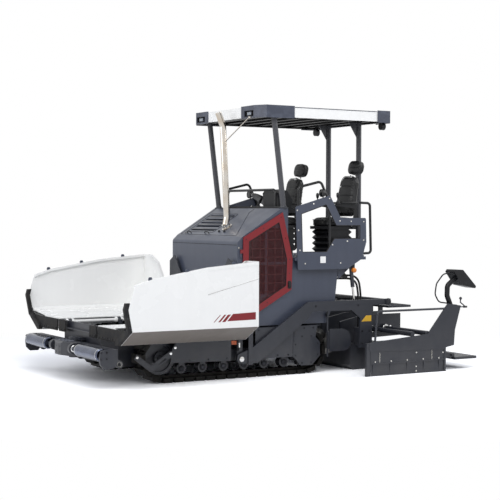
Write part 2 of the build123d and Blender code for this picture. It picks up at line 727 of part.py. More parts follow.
# side doors over the engine bay: a frame round a window of mesh bars, on two hinges with pins
door_outline = [(door_front, 680), (door_front - 15, 1761), (5, 2079), (-145, 1486), (-130, 1091)]
with BuildPart() as side_door_left:
    with BuildSketch(Plane.XZ.offset(-door_low - door_thickness)) as frame:
        with BuildLine():
            Polyline(*door_outline, close=True)
        make_face()
        offset(amount=-door_frame, kind=Kind.INTERSECTION, mode=Mode.SUBTRACT)
    extrude(frame.sketch, amount=door_thickness)
    with BuildSketch(Plane.XZ.offset(-door_low - door_skin)) as mesh_bars:
        with Locations((225, 1400)):
            with GridLocations(110, 0, 7, 1):
                Rectangle(8, 1500)
            with GridLocations(0, 110, 1, 13):
                Rectangle(800, 8)
        with BuildLine():
            Polyline(*door_outline, close=True)
        make_face(mode=Mode.INTERSECT)
    extrude(mesh_bars.sketch, amount=door_skin)
    block((-118, -78), (door_low + door_thickness - 1, door_low + door_thickness + 14), (1120, 1185))
    for knuckle_z in door_hinge_z:
        round_bar((door_hinge_x, door_hinge_y, knuckle_z + seat_gap),
                  (door_hinge_x, door_hinge_y, knuckle_z + door_knuckle), door_knuckle_radius)
        round_bar((door_hinge_x, door_hinge_y, knuckle_z - door_knuckle),
                  (door_hinge_x, door_hinge_y, knuckle_z + 1), door_pin_radius)
        block((door_front - 40, door_hinge_x), (door_hinge_y, door_hinge_y + 6),
              (knuckle_z + 2, knuckle_z + door_knuckle - 2))

with BuildPart() as side_door_right:
    mirror(side_door_left.part, about=Plane.XZ)

# operator's platform
with BuildPart() as platform_deck:
    block((deck_rear, deck_front), (-deck_half, deck_half), (deck_under, deck_top))
    block((deck_tail, deck_rear), (-rear_post_y - 50, rear_post_y + 50), (deck_under, deck_top))
    block((deck_front, hood_back - seat_gap), (-body_half + 20, body_half - 20), (deck_under, deck_top))

guard_outline = [(-160, 2150), (-690, 2301), (-858, 2010), (-1262, 2010), (-1270, 1690), (-1200, 1470),
                 (-970, 1342), (-200, 1342)]
guard_window = [(-250, 2060), (-630, 2180), (-790, 1910), (-1170, 1910), (-1170, 1740), (-760, 1740),
                (-640, 1570), (-270, 1570)]
with BuildPart() as platform_guards:
    side_sheet(guard_outline, guard_y - guard_plate, guard_y)
    fillet(platform_guards.edges().filter_by(Axis.Y), 24)
    side_sheet(guard_window, guard_y - guard_plate, guard_y, mode=Mode.SUBTRACT)
    mirror(about=Plane.XZ)

console_top = 2160
crossbar_x = -150
crossbar_y = (-790, 470)
crossbar_z = 2375
pod_y = (110, 540)
with BuildPart() as handrails:
    for side in (-1, 1):
        rail = side * rail_y
        bent_tube([(-215, rail, deck_top + seat_gap), (-215, rail, 2400), (-560, rail, 2480),
                   (-700, rail, 2200), (-700, rail, deck_top + seat_gap)], rail_radius, 60)
        bent_tube([(deck_rear + 90, rail, 2210), (deck_rear - 70, rail, 2205), (deck_rear - 90, rail, 1545),
                   (deck_rear + 60, rail, 1540)], rail_radius, 45)
    # rail across the front, from the deck on the right to the console on the left
    bent_tube([(crossbar_x, crossbar_y[0], deck_top + seat_gap), (crossbar_x, crossbar_y[0], crossbar_z),
               (crossbar_x, crossbar_y[1], crossbar_z), (crossbar_x, crossbar_y[1], console_top + seat_gap)],
              rail_radius, 60)

# seats: soft bodies apart from their frames
with BuildPart() as seat_left:
    block((seat_rear_x, seat_front_x), (seat_y - seat_half, seat_y + seat_half),
          (seat_plate_z + seat_gap, cushion_top))
    fillet(seat_left.edges().filter_by(Axis.Y).group_by(Axis.X)[-1], 40)
    side_sheet([(seat_rear_x, cushion_top + seat_gap), (seat_rear_x + back_depth, cushion_top + seat_gap),
                (seat_rear_x + back_depth - 30, cushion_top + 200),
                (seat_rear_x + back_depth - back_lean, back_top),
                (seat_rear_x + 10 - back_lean, back_top), (seat_rear_x - 40, cushion_top + 180)],
               seat_y - seat_half + 10, seat_y + seat_half - 10)
    fillet(seat_left.edges().filter_by(Axis.X).group_by(Axis.Z)[-1], seat_round)
    block(headrest_x, (seat_y - headrest_half, seat_y + headrest_half), headrest_z)
    fillet(seat_left.edges().filter_by(Axis.X).group_by(Axis.Z)[-1], seat_round)

with BuildPart() as seat_right:
    mirror(seat_left.part, about=Plane.XZ)

# seat frames: base, bellows, pan, armrests and the headrest's stems
bellows_low = deck_top + 60
bellows_step = (seat_plate_z - 40 - bellows_low) / bellows_count
bellows_ridge = []
for fold in range(bellows_count):
    bellows_ridge += [(140, bellows_low + fold * bellows_step),
                      (190, bellows_low + (fold + 0.5) * bellows_step)]
bellows_ridge.append((140, seat_plate_z - 40))
bellows_x = -900
with BuildPart() as seat_frames:
    for side in (-1, 1):
        centre = side * seat_y
        block((bellows_x - 150, bellows_x + 150), (centre - 160, centre + 160), (deck_top, bellows_low))
        side_sheet([(bellows_x + reach, level) for reach, level in bellows_ridge]
                   + [(bellows_x - reach, level) for reach, level in reversed(bellows_ridge)],
                   centre - 190, centre + 190)
        block((seat_rear_x, seat_front_x - 20), (centre - seat_half - 5, centre + seat_half + 5),
              (seat_plate_z - 40, seat_plate_z))
        for stem_side in (-60, 60):
            round_bar((headrest_x[0] + 100, centre + stem_side, back_top + seat_gap),
                      (headrest_x[0] + 100, centre + stem_side, headrest_z[0] - seat_gap), 7)
        for arm_y_offset in (-seat_half - 25, seat_half + 25):
            arm = centre + arm_y_offset
            block((seat_rear_x + 30, seat_rear_x + 70), (min(arm, centre + arm_y_offset * 0.9),
                  max(arm, centre + arm_y_offset * 0.9)), (seat_plate_z - 30, seat_plate_z))
            side_sheet([(seat_rear_x + 30, seat_plate_z - 30), (seat_rear_x + 90, seat_plate_z - 30),
                        (seat_rear_x + 60, arm_rest_z - 60), (seat_rear_x + 350, arm_rest_z - 20),
                        (seat_rear_x + 350, arm_rest_z + 10), (seat_rear_x + 10, arm_rest_z)],
                       arm - 6, arm + 6)

# console across the front of the platform: a desk on a pillar, with a pod at its left end
with BuildPart() as operator_console:
    side_sheet([(-130, console_top - 80), (-130, console_top), (-230, console_top), (-340, console_top - 60),
                (-340, console_top - 90)], -700, 700)
    block((-180, -132), (-600, 600), (deck_top, console_top - 79))
    side_sheet([(-190, console_top - 40), (-170, 2330), (-210, 2380), (-290, 2360), (-370, 2240),
                (-350, console_top - 70)], *pod_y)
    round_bar((-300, -300, console_top - 60), (-390, -300, console_top + 90), 16)
    with Locations(Location((-392, -300, console_top + 95), (0, -31, 0))):
        Cylinder(140, 16)

# canopy: a flat tray with ribs below, on two raked front posts and two upright rear posts
roof_top = canopy_top - corner_depth
roof_plan = [(canopy_front, -780), (canopy_front, 780), (canopy_front - 80, canopy_half),
             (canopy_rear + 40, canopy_half), (canopy_rear, canopy_half - 60),
             (canopy_rear, -canopy_half + 60),
             (canopy_rear + 40, -canopy_half), (canopy_front - 80, -canopy_half)]
roof_low = roof_top - canopy_edge
rib_low = roof_low + 20
with BuildPart() as canopy_roof:
    flat_sheet(roof_plan, roof_low, roof_top)
    block((canopy_rear + canopy_wall, canopy_front - 80 - canopy_wall),
          (-canopy_half + canopy_wall, canopy_half - canopy_wall), (roof_low, roof_top - canopy_wall),
          mode=Mode.SUBTRACT)
    for rib in range(rib_count):
        rib_x = rear_post_x + rib * rib_pitch
        block((rib_x - rib_half, rib_x + rib_half), (-canopy_half + canopy_wall, canopy_half - canopy_wall),
              (rib_low, roof_top - canopy_wall))

# corner mouldings clipped round the tray, the front pair with a recess for a lamp
with BuildPart() as canopy_mouldings:
    front_skin = canopy_front + corner_depth
    rear_skin = canopy_rear - corner_depth
    side_skin = canopy_half + corner_depth
    flat_sheet([(front_skin, moulding_inner_y), (front_skin, 784), (canopy_front - 76, side_skin),
                (front_corner_x, side_skin),
                (front_corner_x, canopy_half + seat_gap), (canopy_front - 80, canopy_half + seat_gap),
                (canopy_front + seat_gap, 780), (canopy_front + seat_gap, moulding_inner_y)],
               roof_low - corner_depth, canopy_top)
    block((canopy_front, front_skin), recess_y, (roof_low + 10, roof_low + 85), mode=Mode.SUBTRACT)
    flat_sheet([(rear_corner_x, side_skin), (canopy_rear + 38, side_skin), (rear_skin, canopy_half - 56),
                (rear_skin, 560), (canopy_rear - seat_gap, 560), (canopy_rear - seat_gap, canopy_half - 60),
                (canopy_rear + 40, canopy_half + seat_gap), (rear_corner_x, canopy_half + seat_gap)],
               roof_low - corner_depth, canopy_top)
    # lamp housings behind the front recesses
    block((canopy_front + seat_gap, canopy_front + 6), recess_lamp_y, (roof_low + 24, roof_low + 70))
    mirror(about=Plane.XZ)

with BuildPart() as canopy_posts:
    for side in (-1, 1):
        for foot, head_x, post_y in (((front_foot_x, hood_crest_z + seat_gap), front_head_x, front_post_y),
                                     ((rear_post_x, deck_top + seat_gap), rear_post_x, rear_post_y)):
            rise = rib_low - seat_gap - foot[1]
            with BuildSketch(Plane.XY.offset(foot[1])) as post:
                with Locations((foot[0], side * post_y)):
                    Circle(post_radius)
            extrude(post.sketch, amount=hypot(rise, head_x - foot[0]), dir=(head_x - foot[0], 0, rise))
        # gusset under the roof, behind each rear post's head
        side_sheet([(rear_post_x, rib_low - 260), (rear_post_x, rib_low - seat_gap),
                    (rear_post_x + 170, rib_low - seat_gap)], side * rear_post_y - 5, side * rear_post_y + 5)

# exhaust stack: flange, clamp, leaning pipe with a turned head, and the stay that braces it to the canopy
exhaust_foot = Vector(exhaust_x, exhaust_y, slope_z(exhaust_x))
stay_z = roof_low - 290
with BuildPart() as exhaust_pipe:
    round_bar(exhaust_foot + slope_up * seat_gap, exhaust_foot + slope_up * 12, 72)
    round_bar(exhaust_foot + slope_up * 10, exhaust_foot + slope_up * 60, exhaust_radius + 8)
    bent_tube([exhaust_foot + slope_up * 45, (exhaust_x + 5, exhaust_y, hood_crest_z - 120),
               (exhaust_x + 70, exhaust_y, exhaust_top - 170), (exhaust_x + 140, exhaust_y, exhaust_top)],
              exhaust_radius, 90)
    round_bar((exhaust_x + 50, exhaust_y + exhaust_radius - 6, stay_z),
              (canopy_front + corner_depth + 12, stay_end_y, roof_low), 7)
    block((canopy_front + corner_depth + seat_gap, canopy_front + corner_depth + 16),
          (stay_end_y - 25, stay_end_y + 25), (roof_low - 12, roof_low + 8))

with BuildPart() as lamps:
    for side in (-1, 1):
        with Locations(Location((-1620, side * 800, rib_low - 70), (0, 90, 0))):
            Cylinder(50, 50)
        block((-1630, -1610), (side * 800 - 8, side * 800 + 8),
              (rib_low - 30, roof_top - canopy_wall - seat_gap))

# levelling cylinders and their guides at the tow points
guide_in = arm_y + arm_plate + running_gap
guide_out = guide_in + 10
level_x = tow_pin_x + 15
with BuildPart() as levelling_cylinders:
    block((guide_x - guide_half, guide_x + guide_half), (guide_in, guide_out), (170, 610))
    block((guide_x - guide_half, guide_x + guide_half), (cover_y - 8, guide_out),
          (580, cover_top - cover_plate - seat_gap))
    round_bar((tow_pin_x, cover_y + 2, tow_pin_z), (tow_pin_x, arm_y + arm_plate + 6, tow_pin_z),
              tow_pin_radius)
    block((tow_pin_x - 40, tow_pin_x + 40), (cover_y - 8, cover_y + 6), (tow_pin_z - 40, 500))
    block((tow_pin_x - 110, tow_pin_x + 80), (cover_y - 10, cover_y),
          (480, cover_top - cover_plate - seat_gap))
    # rod and barrel above the tow pin
    round_bar((level_x, cover_y + 20, 385), (level_x, cover_y + 20, 460), 10)
    round_bar((level_x, cover_y + 20, 450), (level_x, cover_y + 20, cover_top - cover_plate - seat_gap), 24)
    block((level_x - 18, level_x + 18), (cover_y, cover_y + 38), (350, 390))
    mirror(about=Plane.XZ)

# tow arms: broad plates from the tow pins over the sprockets to the screed
arm_inner = arm_y
arm_outer = arm_y + arm_plate
arm_outline = [(tow_pin_x + 60, 190), (tow_pin_x + 60, 300), (505, 374), (-331, 928), (arm_rear_x, 935),
               (arm_rear_x, 860), (-1340, 860), (-1340, 300), (-1130, 300), (-1150, 690), (-1010, 800),
               (-400, 800), (-340, 720), (420, 185)]
cross_tube_x = arm_rear_x + 45
cross_tube_z = 897
with BuildPart() as tow_arms:
    side_sheet(arm_outline, arm_inner, arm_outer)
    fillet(tow_arms.edges().filter_by(Axis.Y).group_by(Axis.X)[-1], 50)
    round_bar((tow_pin_x, arm_inner - 5, tow_pin_z), (tow_pin_x, arm_outer + 5, tow_pin_z),
              tow_pin_radius + 0.05, mode=Mode.SUBTRACT)
    round_bar((lift_eye_x, lift_y - 30, lift_eye_z), (lift_eye_x, arm_inner, lift_eye_z), lift_pin_radius)
    round_bar((cross_tube_x, arm_outer - 1, cross_tube_z), (cross_tube_x, arm_outer + 14, cross_tube_z), 44)
    mirror(about=Plane.XZ)

tube_xs = {1: (-1560, -1800), -1: (-1680, -1920)}
bearing_outline = [(screed_front - 20, 100), (screed_front - 20, 620), (screed_split, 700),
                   (screed_rear, 700), (screed_rear, 400), (screed_split, 380), (screed_split, 100)]
walkway_front = screed_rear + 380
walkway_half = screed_half - 20
with BuildPart() as screed_main:
    block((screed_split, screed_front), (-screed_half, screed_half), (screed_bottom, screed_height))
    chamfer(screed_main.edges().filter_by(Axis.Y).group_by(Axis.X)[-1].sort_by(Axis.Z)[0], 60)
    for side in (-1, 1):
        for bearing_y in guide_bearing_y:
            inner, outer = sorted((side * bearing_y, side * (bearing_y + guide_bearing_plate)))
            side_sheet(bearing_outline, inner, outer)
        inner, outer = sorted((side * (screed_half - 40), side * (arm_inner - seat_gap)))
        block((-1320, -1150), (inner, outer), (320, 560))
        # collars round the guide tubes where they leave the outer bearings
        collar_in = guide_bearing_y[1] + guide_bearing_plate
        for tube_x in tube_xs[side]:
            round_bar((tube_x, side * (collar_in - 1), guide_tube_z),
                      (tube_x, side * (collar_in + collar_width), guide_tube_z), collar_radius)
    for tube_x in tube_xs[1] + tube_xs[-1]:
        round_bar((tube_x, -screed_half, guide_tube_z), (tube_x, screed_half, guide_tube_z),
                  guide_tube_radius + 0.05, mode=Mode.SUBTRACT)
    round_bar((cross_tube_x, -arm_inner + seat_gap, cross_tube_z),
              (cross_tube_x, arm_inner - seat_gap, cross_tube_z), 34)
    # walkway: an open frame with bars across it
    walkway_top = walkway_z + walkway_bar
    for bar_x in (screed_rear, walkway_front - walkway_bar):
        block((bar_x, bar_x + walkway_bar), (-walkway_half, walkway_half), (walkway_z, walkway_top))
    for bar in range(13):
        bar_y = -walkway_half + 10 + bar * (walkway_half - 10) / 6
        block((screed_rear, walkway_front), (bar_y - 10, bar_y + 10), (walkway_z, walkway_top))
    for strut_y in (-615, -165, 165, 615):
        block((-1780, -1720), (strut_y - 15, strut_y + 15), (690, walkway_z + 5))
        block((cross_tube_x - 25, cross_tube_x + 25), (strut_y - 15, strut_y + 15), (660, 880))

end_front = screed_front + 197
end_outline = [(end_front, 340), (end_front, 430), (-1796, 503), (-2124, 890), (-2342, 857), (-2245, 536),
               (-2231, 339), (screed_rear - 16, 315), (screed_rear - 16, screed_bottom),
               (end_front - 37, screed_bottom), (end_front - 17, 320)]
rib_places = (-930, -1200, -1470, -1740, -1990)
rail_in = end_plate_y - end_plate
crank_y = rail_in - 6


def build_extension(side):
    """Sliding screed behind the main one, with its guide tubes, end plate and handrail."""
    with BuildPart() as extension:
        face = end_plate_y - end_plate
        inner, outer = sorted((side * extension_inner_y, side * face))
        block((screed_rear, screed_split - running_gap), (inner, outer), (screed_bottom, screed_height))
        inner, outer = sorted((side * face, side * end_plate_y))
        side_sheet(end_outline, inner, outer)
        # the panel and the ski under the flange stand back, with ribs down the ski
        inner, outer = sorted((side * (end_plate_y - 7), side * end_plate_y))
        side_sheet([(end_front - 40, 318), (screed_rear + 10, 318 - flange_depth),
                    (screed_rear + 10, ski_top + 16),
                    (end_front - 40, ski_top + 16)], inner, outer, mode=Mode.SUBTRACT)
        inner, outer = sorted((side * (end_plate_y - 12), side * end_plate_y))
        side_sheet([(end_front - 20, ski_top), (screed_rear + 10, ski_top), (screed_rear + 10, screed_bottom),
                    (end_front - 20, screed_bottom)], inner, outer, mode=Mode.SUBTRACT)
        for rib_x in rib_places:
            cross_sheet([(side * (end_plate_y - 13), ski_top + 1), (side * end_plate_y, ski_top + 1),
                         (side * (end_plate_y - 13), screed_bottom + 10)], rib_x - 8, rib_x + 8)
        # foot post at the front and the handrail above the plate
        inner, outer = sorted((side * (face - 26), side * (end_plate_y - 4)))
        block((end_front - 24, end_front + 40), (inner, outer), (screed_bottom, 424))
        bent_tube([(-960, side * rail_in, 425), (-992, side * rail_in, 824), (-2080, side * rail_in, 824)],
                  14, 60)
        # crank at the plate's rear peak
        for start, end in (((-2320, 838), (-2444, 836)), ((-2440, 834), (-2345, 902)),
                           ((-2350, 894), (-2354, 940))):
            round_bar((start[0], side * crank_y, start[1]), (end[0], side * crank_y, end[1]), 8)
        with Locations((-2354, side * crank_y, 950)):
            Sphere(20)
        for lug_y in step_lug_y:
            inner, outer = sorted((side * (lug_y + 13), side * (lug_y + 28)))
            with BuildSketch(Plane.XZ.offset(-outer)) as bracket:
                with BuildLine():
                    Polyline((screed_rear + 1, 130), (screed_rear + 1, 260),
                             (step_hinge_x, step_hinge_z + 24), (step_hinge_x, step_hinge_z - 24), close=True)
                make_face()
                with Locations((step_hinge_x, step_hinge_z)):
                    Circle(24)
                    Circle(step_pin_radius + 0.05, mode=Mode.SUBTRACT)
            extrude(bracket.sketch, amount=outer - inner)
        for tube_x in tube_xs[side]:
            round_bar((tube_x, side * 110, guide_tube_z), (tube_x, side * face, guide_tube_z),
                      guide_tube_radius)
    return extension


extension_left = build_extension(1)
extension_right = build_extension(-1)

# display console on its curved post at an extension's rear corner, with the cable down to its foot
with BuildPart() as console_left:
    side_sheet([(-2235, 1300), (-2258, 1332), (-2380, 1328), (-2604, 1106), (-2590, 1078), (-2372, 1123)],
               console_y - console_half, console_y + console_half - 5)
    fillet(console_left.edges().filter_by(Axis.Y), 12)
    bent_tube([(-2252, console_y, 845), (-2188, console_y, 985), (-2192, console_y, 1120),
               (-2338, console_y, 1225)], console_post_radius, 70)
    block((-2290, -2220), (console_y - 40, end_plate_y - end_plate - seat_gap), (825, 870))
    bent_tube([(-2235, console_y, 1290), (-2120, console_y, 1270), (-2010, console_y, 1150),
               (-1985, console_y, 1010), (-2050, console_y, 905), (-2200, console_y, 885)], 9, 90)

with BuildPart() as console_right:
    mirror(console_left.part, about=Plane.XZ)

# footboard behind an extension, on two lugs
with BuildPart() as footboard_left:
    block((step_hinge_x - step_depth, step_hinge_x - 30), step_span, (130, 130 + step_plate))
    for lug_y in step_lug_y:
        block((step_hinge_x - 60, step_hinge_x + 10), (lug_y - 12, lug_y + 12), (150, step_hinge_z + 20))
    round_bar((step_hinge_x, step_span[0], step_hinge_z), (step_hinge_x, step_span[1], step_hinge_z),
              step_pin_radius)

with BuildPart() as footboard_right:
    mirror(footboard_left.part, about=Plane.XZ)

# augers: a helical flight on a shaft for each side
blade_depth = auger_radius - auger_shaft_radius + 4
with BuildPart() as auger_left:
    round_bar((auger_x, case_half + seat_gap, auger_z), (auger_x, auger_guard_y - seat_gap, auger_z),
              auger_shaft_radius)
    with BuildLine() as helix:
        Helix(auger_pitch, auger_length, auger_radius - blade_depth / 2, center=(auger_x, 100, auger_z),
              direction=(0, 1, 0))
    turn = helix.wire()
    with BuildSketch(Plane(origin=turn @ 0, x_dir=(0, 1, 0), z_dir=turn % 0)) as blade:
        Rectangle(12, blade_depth)
    sweep(blade.sketch, path=turn, is_frenet=True)

with BuildPart() as auger_right:
    mirror(auger_left.part, about=Plane.XZ)

# auger carrier: centre gear case, outer guards and lift posts
with BuildPart() as auger_frame:
    block((auger_x - 70, auger_x + 70), (-case_half, case_half), (auger_z - 70, body_bottom))
    block((auger_x, frame_rear - seat_gap), (-case_half, case_half), (560, body_bottom - seat_gap))
    post_y = auger_guard_y - 23
    for side in (-1, 1):
        inner, outer = sorted((side * auger_guard_y, side * (auger_guard_y + auger_guard_plate)))
        side_sheet([(auger_post_x - 14, 270), (auger_post_x - 14, 560), (-900, 560), (-985, 530),
                    (-1030, 460), (-1030, 350), (-985, 290), (-940, 270)], inner, outer)
        round_bar((auger_post_x, side * post_y, 200), (auger_post_x, side * post_y, 930), 12)
        inner, outer = sorted((side * post_y, side * (auger_guard_y + 1)))
        block((auger_post_x - 24, auger_post_x + 8), (inner, outer), (300, 530))
        for clamp_z in (720, 880):
            inner, outer = sorted((side * (body_half + seat_gap), side * (post_y + 12)))
            block((auger_post_x - 7, auger_post_x + 14), (inner, outer), (clamp_z, clamp_z + 40))

# screed lift cylinders between the body's columns and the arms
lift_run = Vector(lift_eye_x - lift_top_x, 0, lift_eye_z - lift_top_z)
lift_way = lift_run.normalized()
with BuildPart() as lift_barrels:
    for side in (-1, 1):
        top = Vector(lift_top_x, side * lift_y, lift_top_z)
        with Locations(Location(tuple(top), (90, 0, 0))):
            Cylinder(28, 40)
        round_bar(top + lift_way * 22, top + lift_way * barrel_length, barrel_radius)
        with Locations(Location(tuple(top), (90, 0, 0))):
            Cylinder(lift_pin_radius + 0.05, 60, mode=Mode.SUBTRACT)
        round_bar(top + lift_way * 45, top + lift_way * 600, rod_radius + 0.05, mode=Mode.SUBTRACT)

with BuildPart() as lift_rods:
    for side in (-1, 1):
        eye = Vector(lift_eye_x, side * lift_y, lift_eye_z)
        with Locations(Location(tuple(eye), (90, 0, 0))):
            Cylinder(36, 36)
        round_bar(eye - lift_way * 28, eye - lift_way * rod_length, rod_radius)
        with Locations(Location(tuple(eye), (90, 0, 0))):
            Cylinder(lift_pin_radius + 8, 60, mode=Mode.SUBTRACT)

with BuildPart() as hydraulic_hoses:
    for side in (-1, 1):
        for offset_x in (0, 40):
            bent_tube([(body_rear - body_wall - seat_gap, side * 760, 1250 - offset_x),
                       (-1180 + offset_x, side * 760, 1250 - offset_x), (-1320 + offset_x, side * 760, 1000),
                       (-1320 + offset_x, side * 760, screed_height + seat_gap)], 14, 90)

nodes = {
    "track_left": track_left,
    "track_right": track_right,
    "track_frames": track_frames,
    "chassis_frame": chassis_frame,
    "conveyor": conveyor,
    "wing_left": wing_left,
    "wing_right": wing_right,
    "wing_seal_left": wing_seal_left,
    "wing_seal_right": wing_seal_right,
    "apron_flaps": apron_flaps,
    "push_beam": push_beam,
    "push_roller_left": push_roller_left,
    "push_roller_right": push_roller_right,
    "hood": hood,
    "body_shell": body_shell,
    "engine_block": engine_block,
    "side_door_left": side_door_left,
    "side_door_right": side_door_right,
    "platform_deck": platform_deck,
    "platform_guards": platform_guards,
    "handrails": handrails,
    "seat_left": seat_left,
    "seat_right": seat_right,
    "seat_frames": seat_frames,
    "operator_console": operator_console,
    "canopy_roof": canopy_roof,
    "canopy_mouldings": canopy_mouldings,
    "canopy_posts": canopy_posts,
    "exhaust_pipe": exhaust_pipe,
    "lamps": lamps,
    "levelling_cylinders": levelling_cylinders,
    "tow_arms": tow_arms,
    "screed_main": screed_main,
    "extension_left": extension_left,
    "extension_right": extension_right,
    "console_left": console_left,
    "console_right": console_right,
    "footboard_left": footboard_left,
    "footboard_right": footboard_right,
    "auger_left": auger_left,
    "auger_right": auger_right,
    "auger_frame": auger_frame,
    "lift_barrels": lift_barrels,
    "lift_rods": lift_rods,
    "hydraulic_hoses": hydraulic_hoses,
}
for name, piece in nodes.items():
    piece.part.label = name
    export_step(piece.part, f"parts/{name}.step")
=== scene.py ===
"""Looks of a compact tracked asphalt paver: finishes, soft seats, fasteners, grilles, cables and the studio.

Metres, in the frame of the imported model: +X is forward, +Y is the machine's left, +Z is up.
"""
import math

import bmesh
import bpy
import numpy as np
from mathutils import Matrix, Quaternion, Vector


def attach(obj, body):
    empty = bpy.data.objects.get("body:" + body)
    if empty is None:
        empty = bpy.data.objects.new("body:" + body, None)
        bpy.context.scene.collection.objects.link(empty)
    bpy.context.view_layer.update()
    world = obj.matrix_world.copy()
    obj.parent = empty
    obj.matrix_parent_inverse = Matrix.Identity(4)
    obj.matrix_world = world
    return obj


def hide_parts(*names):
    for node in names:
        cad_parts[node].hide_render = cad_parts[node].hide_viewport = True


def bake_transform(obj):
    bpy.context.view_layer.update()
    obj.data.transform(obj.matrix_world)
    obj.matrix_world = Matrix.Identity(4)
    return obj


bl_info = {
    "name": "Asphalt Paver Dressing",
    "version": (1, 0, 0),
    "blender": (4, 5, 0),
    "location": "3D View > Sidebar > Paver",
    "description": "Finishes and fine pieces for a compact tracked asphalt paver",
    "category": "Add Mesh",
}

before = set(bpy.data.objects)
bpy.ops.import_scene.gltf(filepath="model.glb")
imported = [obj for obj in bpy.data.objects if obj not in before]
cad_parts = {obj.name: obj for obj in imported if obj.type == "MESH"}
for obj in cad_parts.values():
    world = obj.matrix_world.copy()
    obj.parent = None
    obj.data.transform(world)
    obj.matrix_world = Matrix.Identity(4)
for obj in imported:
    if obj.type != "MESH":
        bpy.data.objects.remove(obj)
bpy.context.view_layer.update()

# Places of the CAD's solids and of the fittings on them, in metres

WING_REAR, WING_FRONT = 0.760, 2.430
WING_FACE, WING_BOTTOM = 1.585, 0.703
WING_FOLD_Y, WING_FOLD_Z = 1.270, 0.522
ROLLER_X, ROLLER_Z = 2.620, 0.410
TOW_EYE_X, TOW_EYE_Z = 2.420, 0.300
SPROCKET_X, IDLER_X, AXLE_Z, LINK_PITCH = -0.350, 1.7172, 0.300, 0.14765
TRACK_ROLLER_Z, CAP_Y = 0.159, 0.85
COVER_FACE = 0.948
HOOD_SLOPE = math.atan2(0.362, 0.575)
HOOD_TOP_X, HOOD_TOP_Z = 0.590, 1.768
HOOD_FRONT, HOOD_SIDE = 0.662, 0.890
GRILLE_X, GRILLE_Y = 0.325, -0.37
EXHAUST_X, EXHAUST_Y = 0.42, 0.20
DOOR_FRAME, DOOR_INNER, DOOR_FACE = 0.085, 0.896, 0.908
LATCH_X, LATCH_Z = -0.098, 1.152
DECK_REAR, DECK_HALF, DECK_TOP = -1.270, 0.940, 1.500
GUARD_FACE = 0.950
GUARD_LAMP, TURN_LAMP = (-0.570, 0.932, 2.330), (-1.070, 0.944, 1.322)
SEAT_Y = 0.680
ROOF_FRONT, ROOF_HALF, ROOF_TOP = 0.350, 0.930, 3.423
REAR_LAMP = (-1.645, 0.80, 3.238)
ARM_FACE, GUIDE_Y, GUIDE_Z = 0.994, 0.668, 0.510
HOSE_Y, HOSE_TOP, HOSE_STEPS = 0.760, 1.250, (0.0, 0.040)
END_FACE = 1.600

# Side of +Y or -Y, and the letter that ends the names of its pieces
SIDES = ((1, "l"), (-1, "r"))
TRACK_ROLLER_PINS = (2, 4, 6, 8, 10, 12)
HOOD_SHEET_LIFT = 0.0003
CLOTH_FRAMES, CLOTH_VOXEL, CLOTH_PRESSURE, CLOTH_MASS = 20, 0.0065, 4.0, 0.3
FLOOR_REACH, WHITE_FROM, WHITE_BY, PLAIN_FLOOR = 40.0, 3.2, 6.0, 0.75
CAMERA_SENSOR, CAMERA_REACH = 36.0, 200.0


# Colours and nodes


def linear(code):
    """An sRGB hex colour as linear red, green, blue and alpha."""
    channels = [int(code[i:i + 2], 16) / 255 for i in (1, 3, 5)]
    return (*(c / 12.92 if c <= 0.04045 else ((c + 0.055) / 1.055) ** 2.4 for c in channels), 1.0)


def grey(value):
    """A neutral linear colour."""
    return (value, value, value, 1.0)


def add_node(tree, kind, links=None, values=None, stops=(), **settings):
    """One shader node: settings are its properties, values its sockets, links what feeds its sockets.

    A link comes from a socket, or from a node's first output. Stops are a colour ramp's (place, colour) pairs.
    """
    node = tree.nodes.new("ShaderNode" + kind)
    for name, value in settings.items():
        setattr(node, name, value)
    for name, value in (values or {}).items():
        node.inputs[name].default_value = value
    for name, source in (links or {}).items():
        tree.links.new(source.outputs[0] if isinstance(source, bpy.types.Node) else source, node.inputs[name])
    for number, (place, colour) in enumerate(stops):
        elements = node.color_ramp.elements
        element = elements[number] if number < 2 else elements.new(place)
        element.position, element.color = place, colour
    return node


def empty_tree(owner):
    """The cleared node tree of a material or a world."""
    owner.use_nodes = True
    owner.node_tree.nodes.clear()
    return owner.node_tree


MATERIALS = {}


def start_material(name, colour):
    """An empty material in MATERIALS: its tree, and Object coordinates in metres."""
    material = MATERIALS[name] = bpy.data.materials.new(name)
    material.diffuse_color = linear(colour)
    tree = empty_tree(material)
    return tree, add_node(tree, "TexCoord").outputs["Object"]


def clouded(tree, place, colours, reach, scale, detail, roughness=0.5):
    """Noise, and a ramp over it from one colour to the other between the two values of reach."""
    cloud = add_node(tree, "TexNoise", {"Vector": place}, {"Scale": scale, "Detail": detail, "Roughness": roughness})
    return cloud, add_node(tree, "ValToRGB", {"Fac": cloud}, stops=list(zip(reach, map(linear, colours))))


def finish_material(tree, colour, relief, strength, depth, values, gloss=None, **links):
    """The tail of every material: relief as a bump, gloss as roughness, the Principled shader and the output.

    Gloss is (source, low, high): roughness goes from low to high while the source goes from 0.3 to 0.7.
    """
    links["Base Color"] = colour
    links["Normal"] = add_node(tree, "Bump", {"Height": relief}, {"Strength": strength, "Distance": depth})
    if gloss:
        links["Roughness"] = add_node(tree, "MapRange", {"Value": gloss[0]},
                                      {"From Min": 0.3, "From Max": 0.7, "To Min": gloss[1], "To Max": gloss[2]})
    add_node(tree, "OutputMaterial", {"Surface": add_node(tree, "BsdfPrincipled", links, values)})


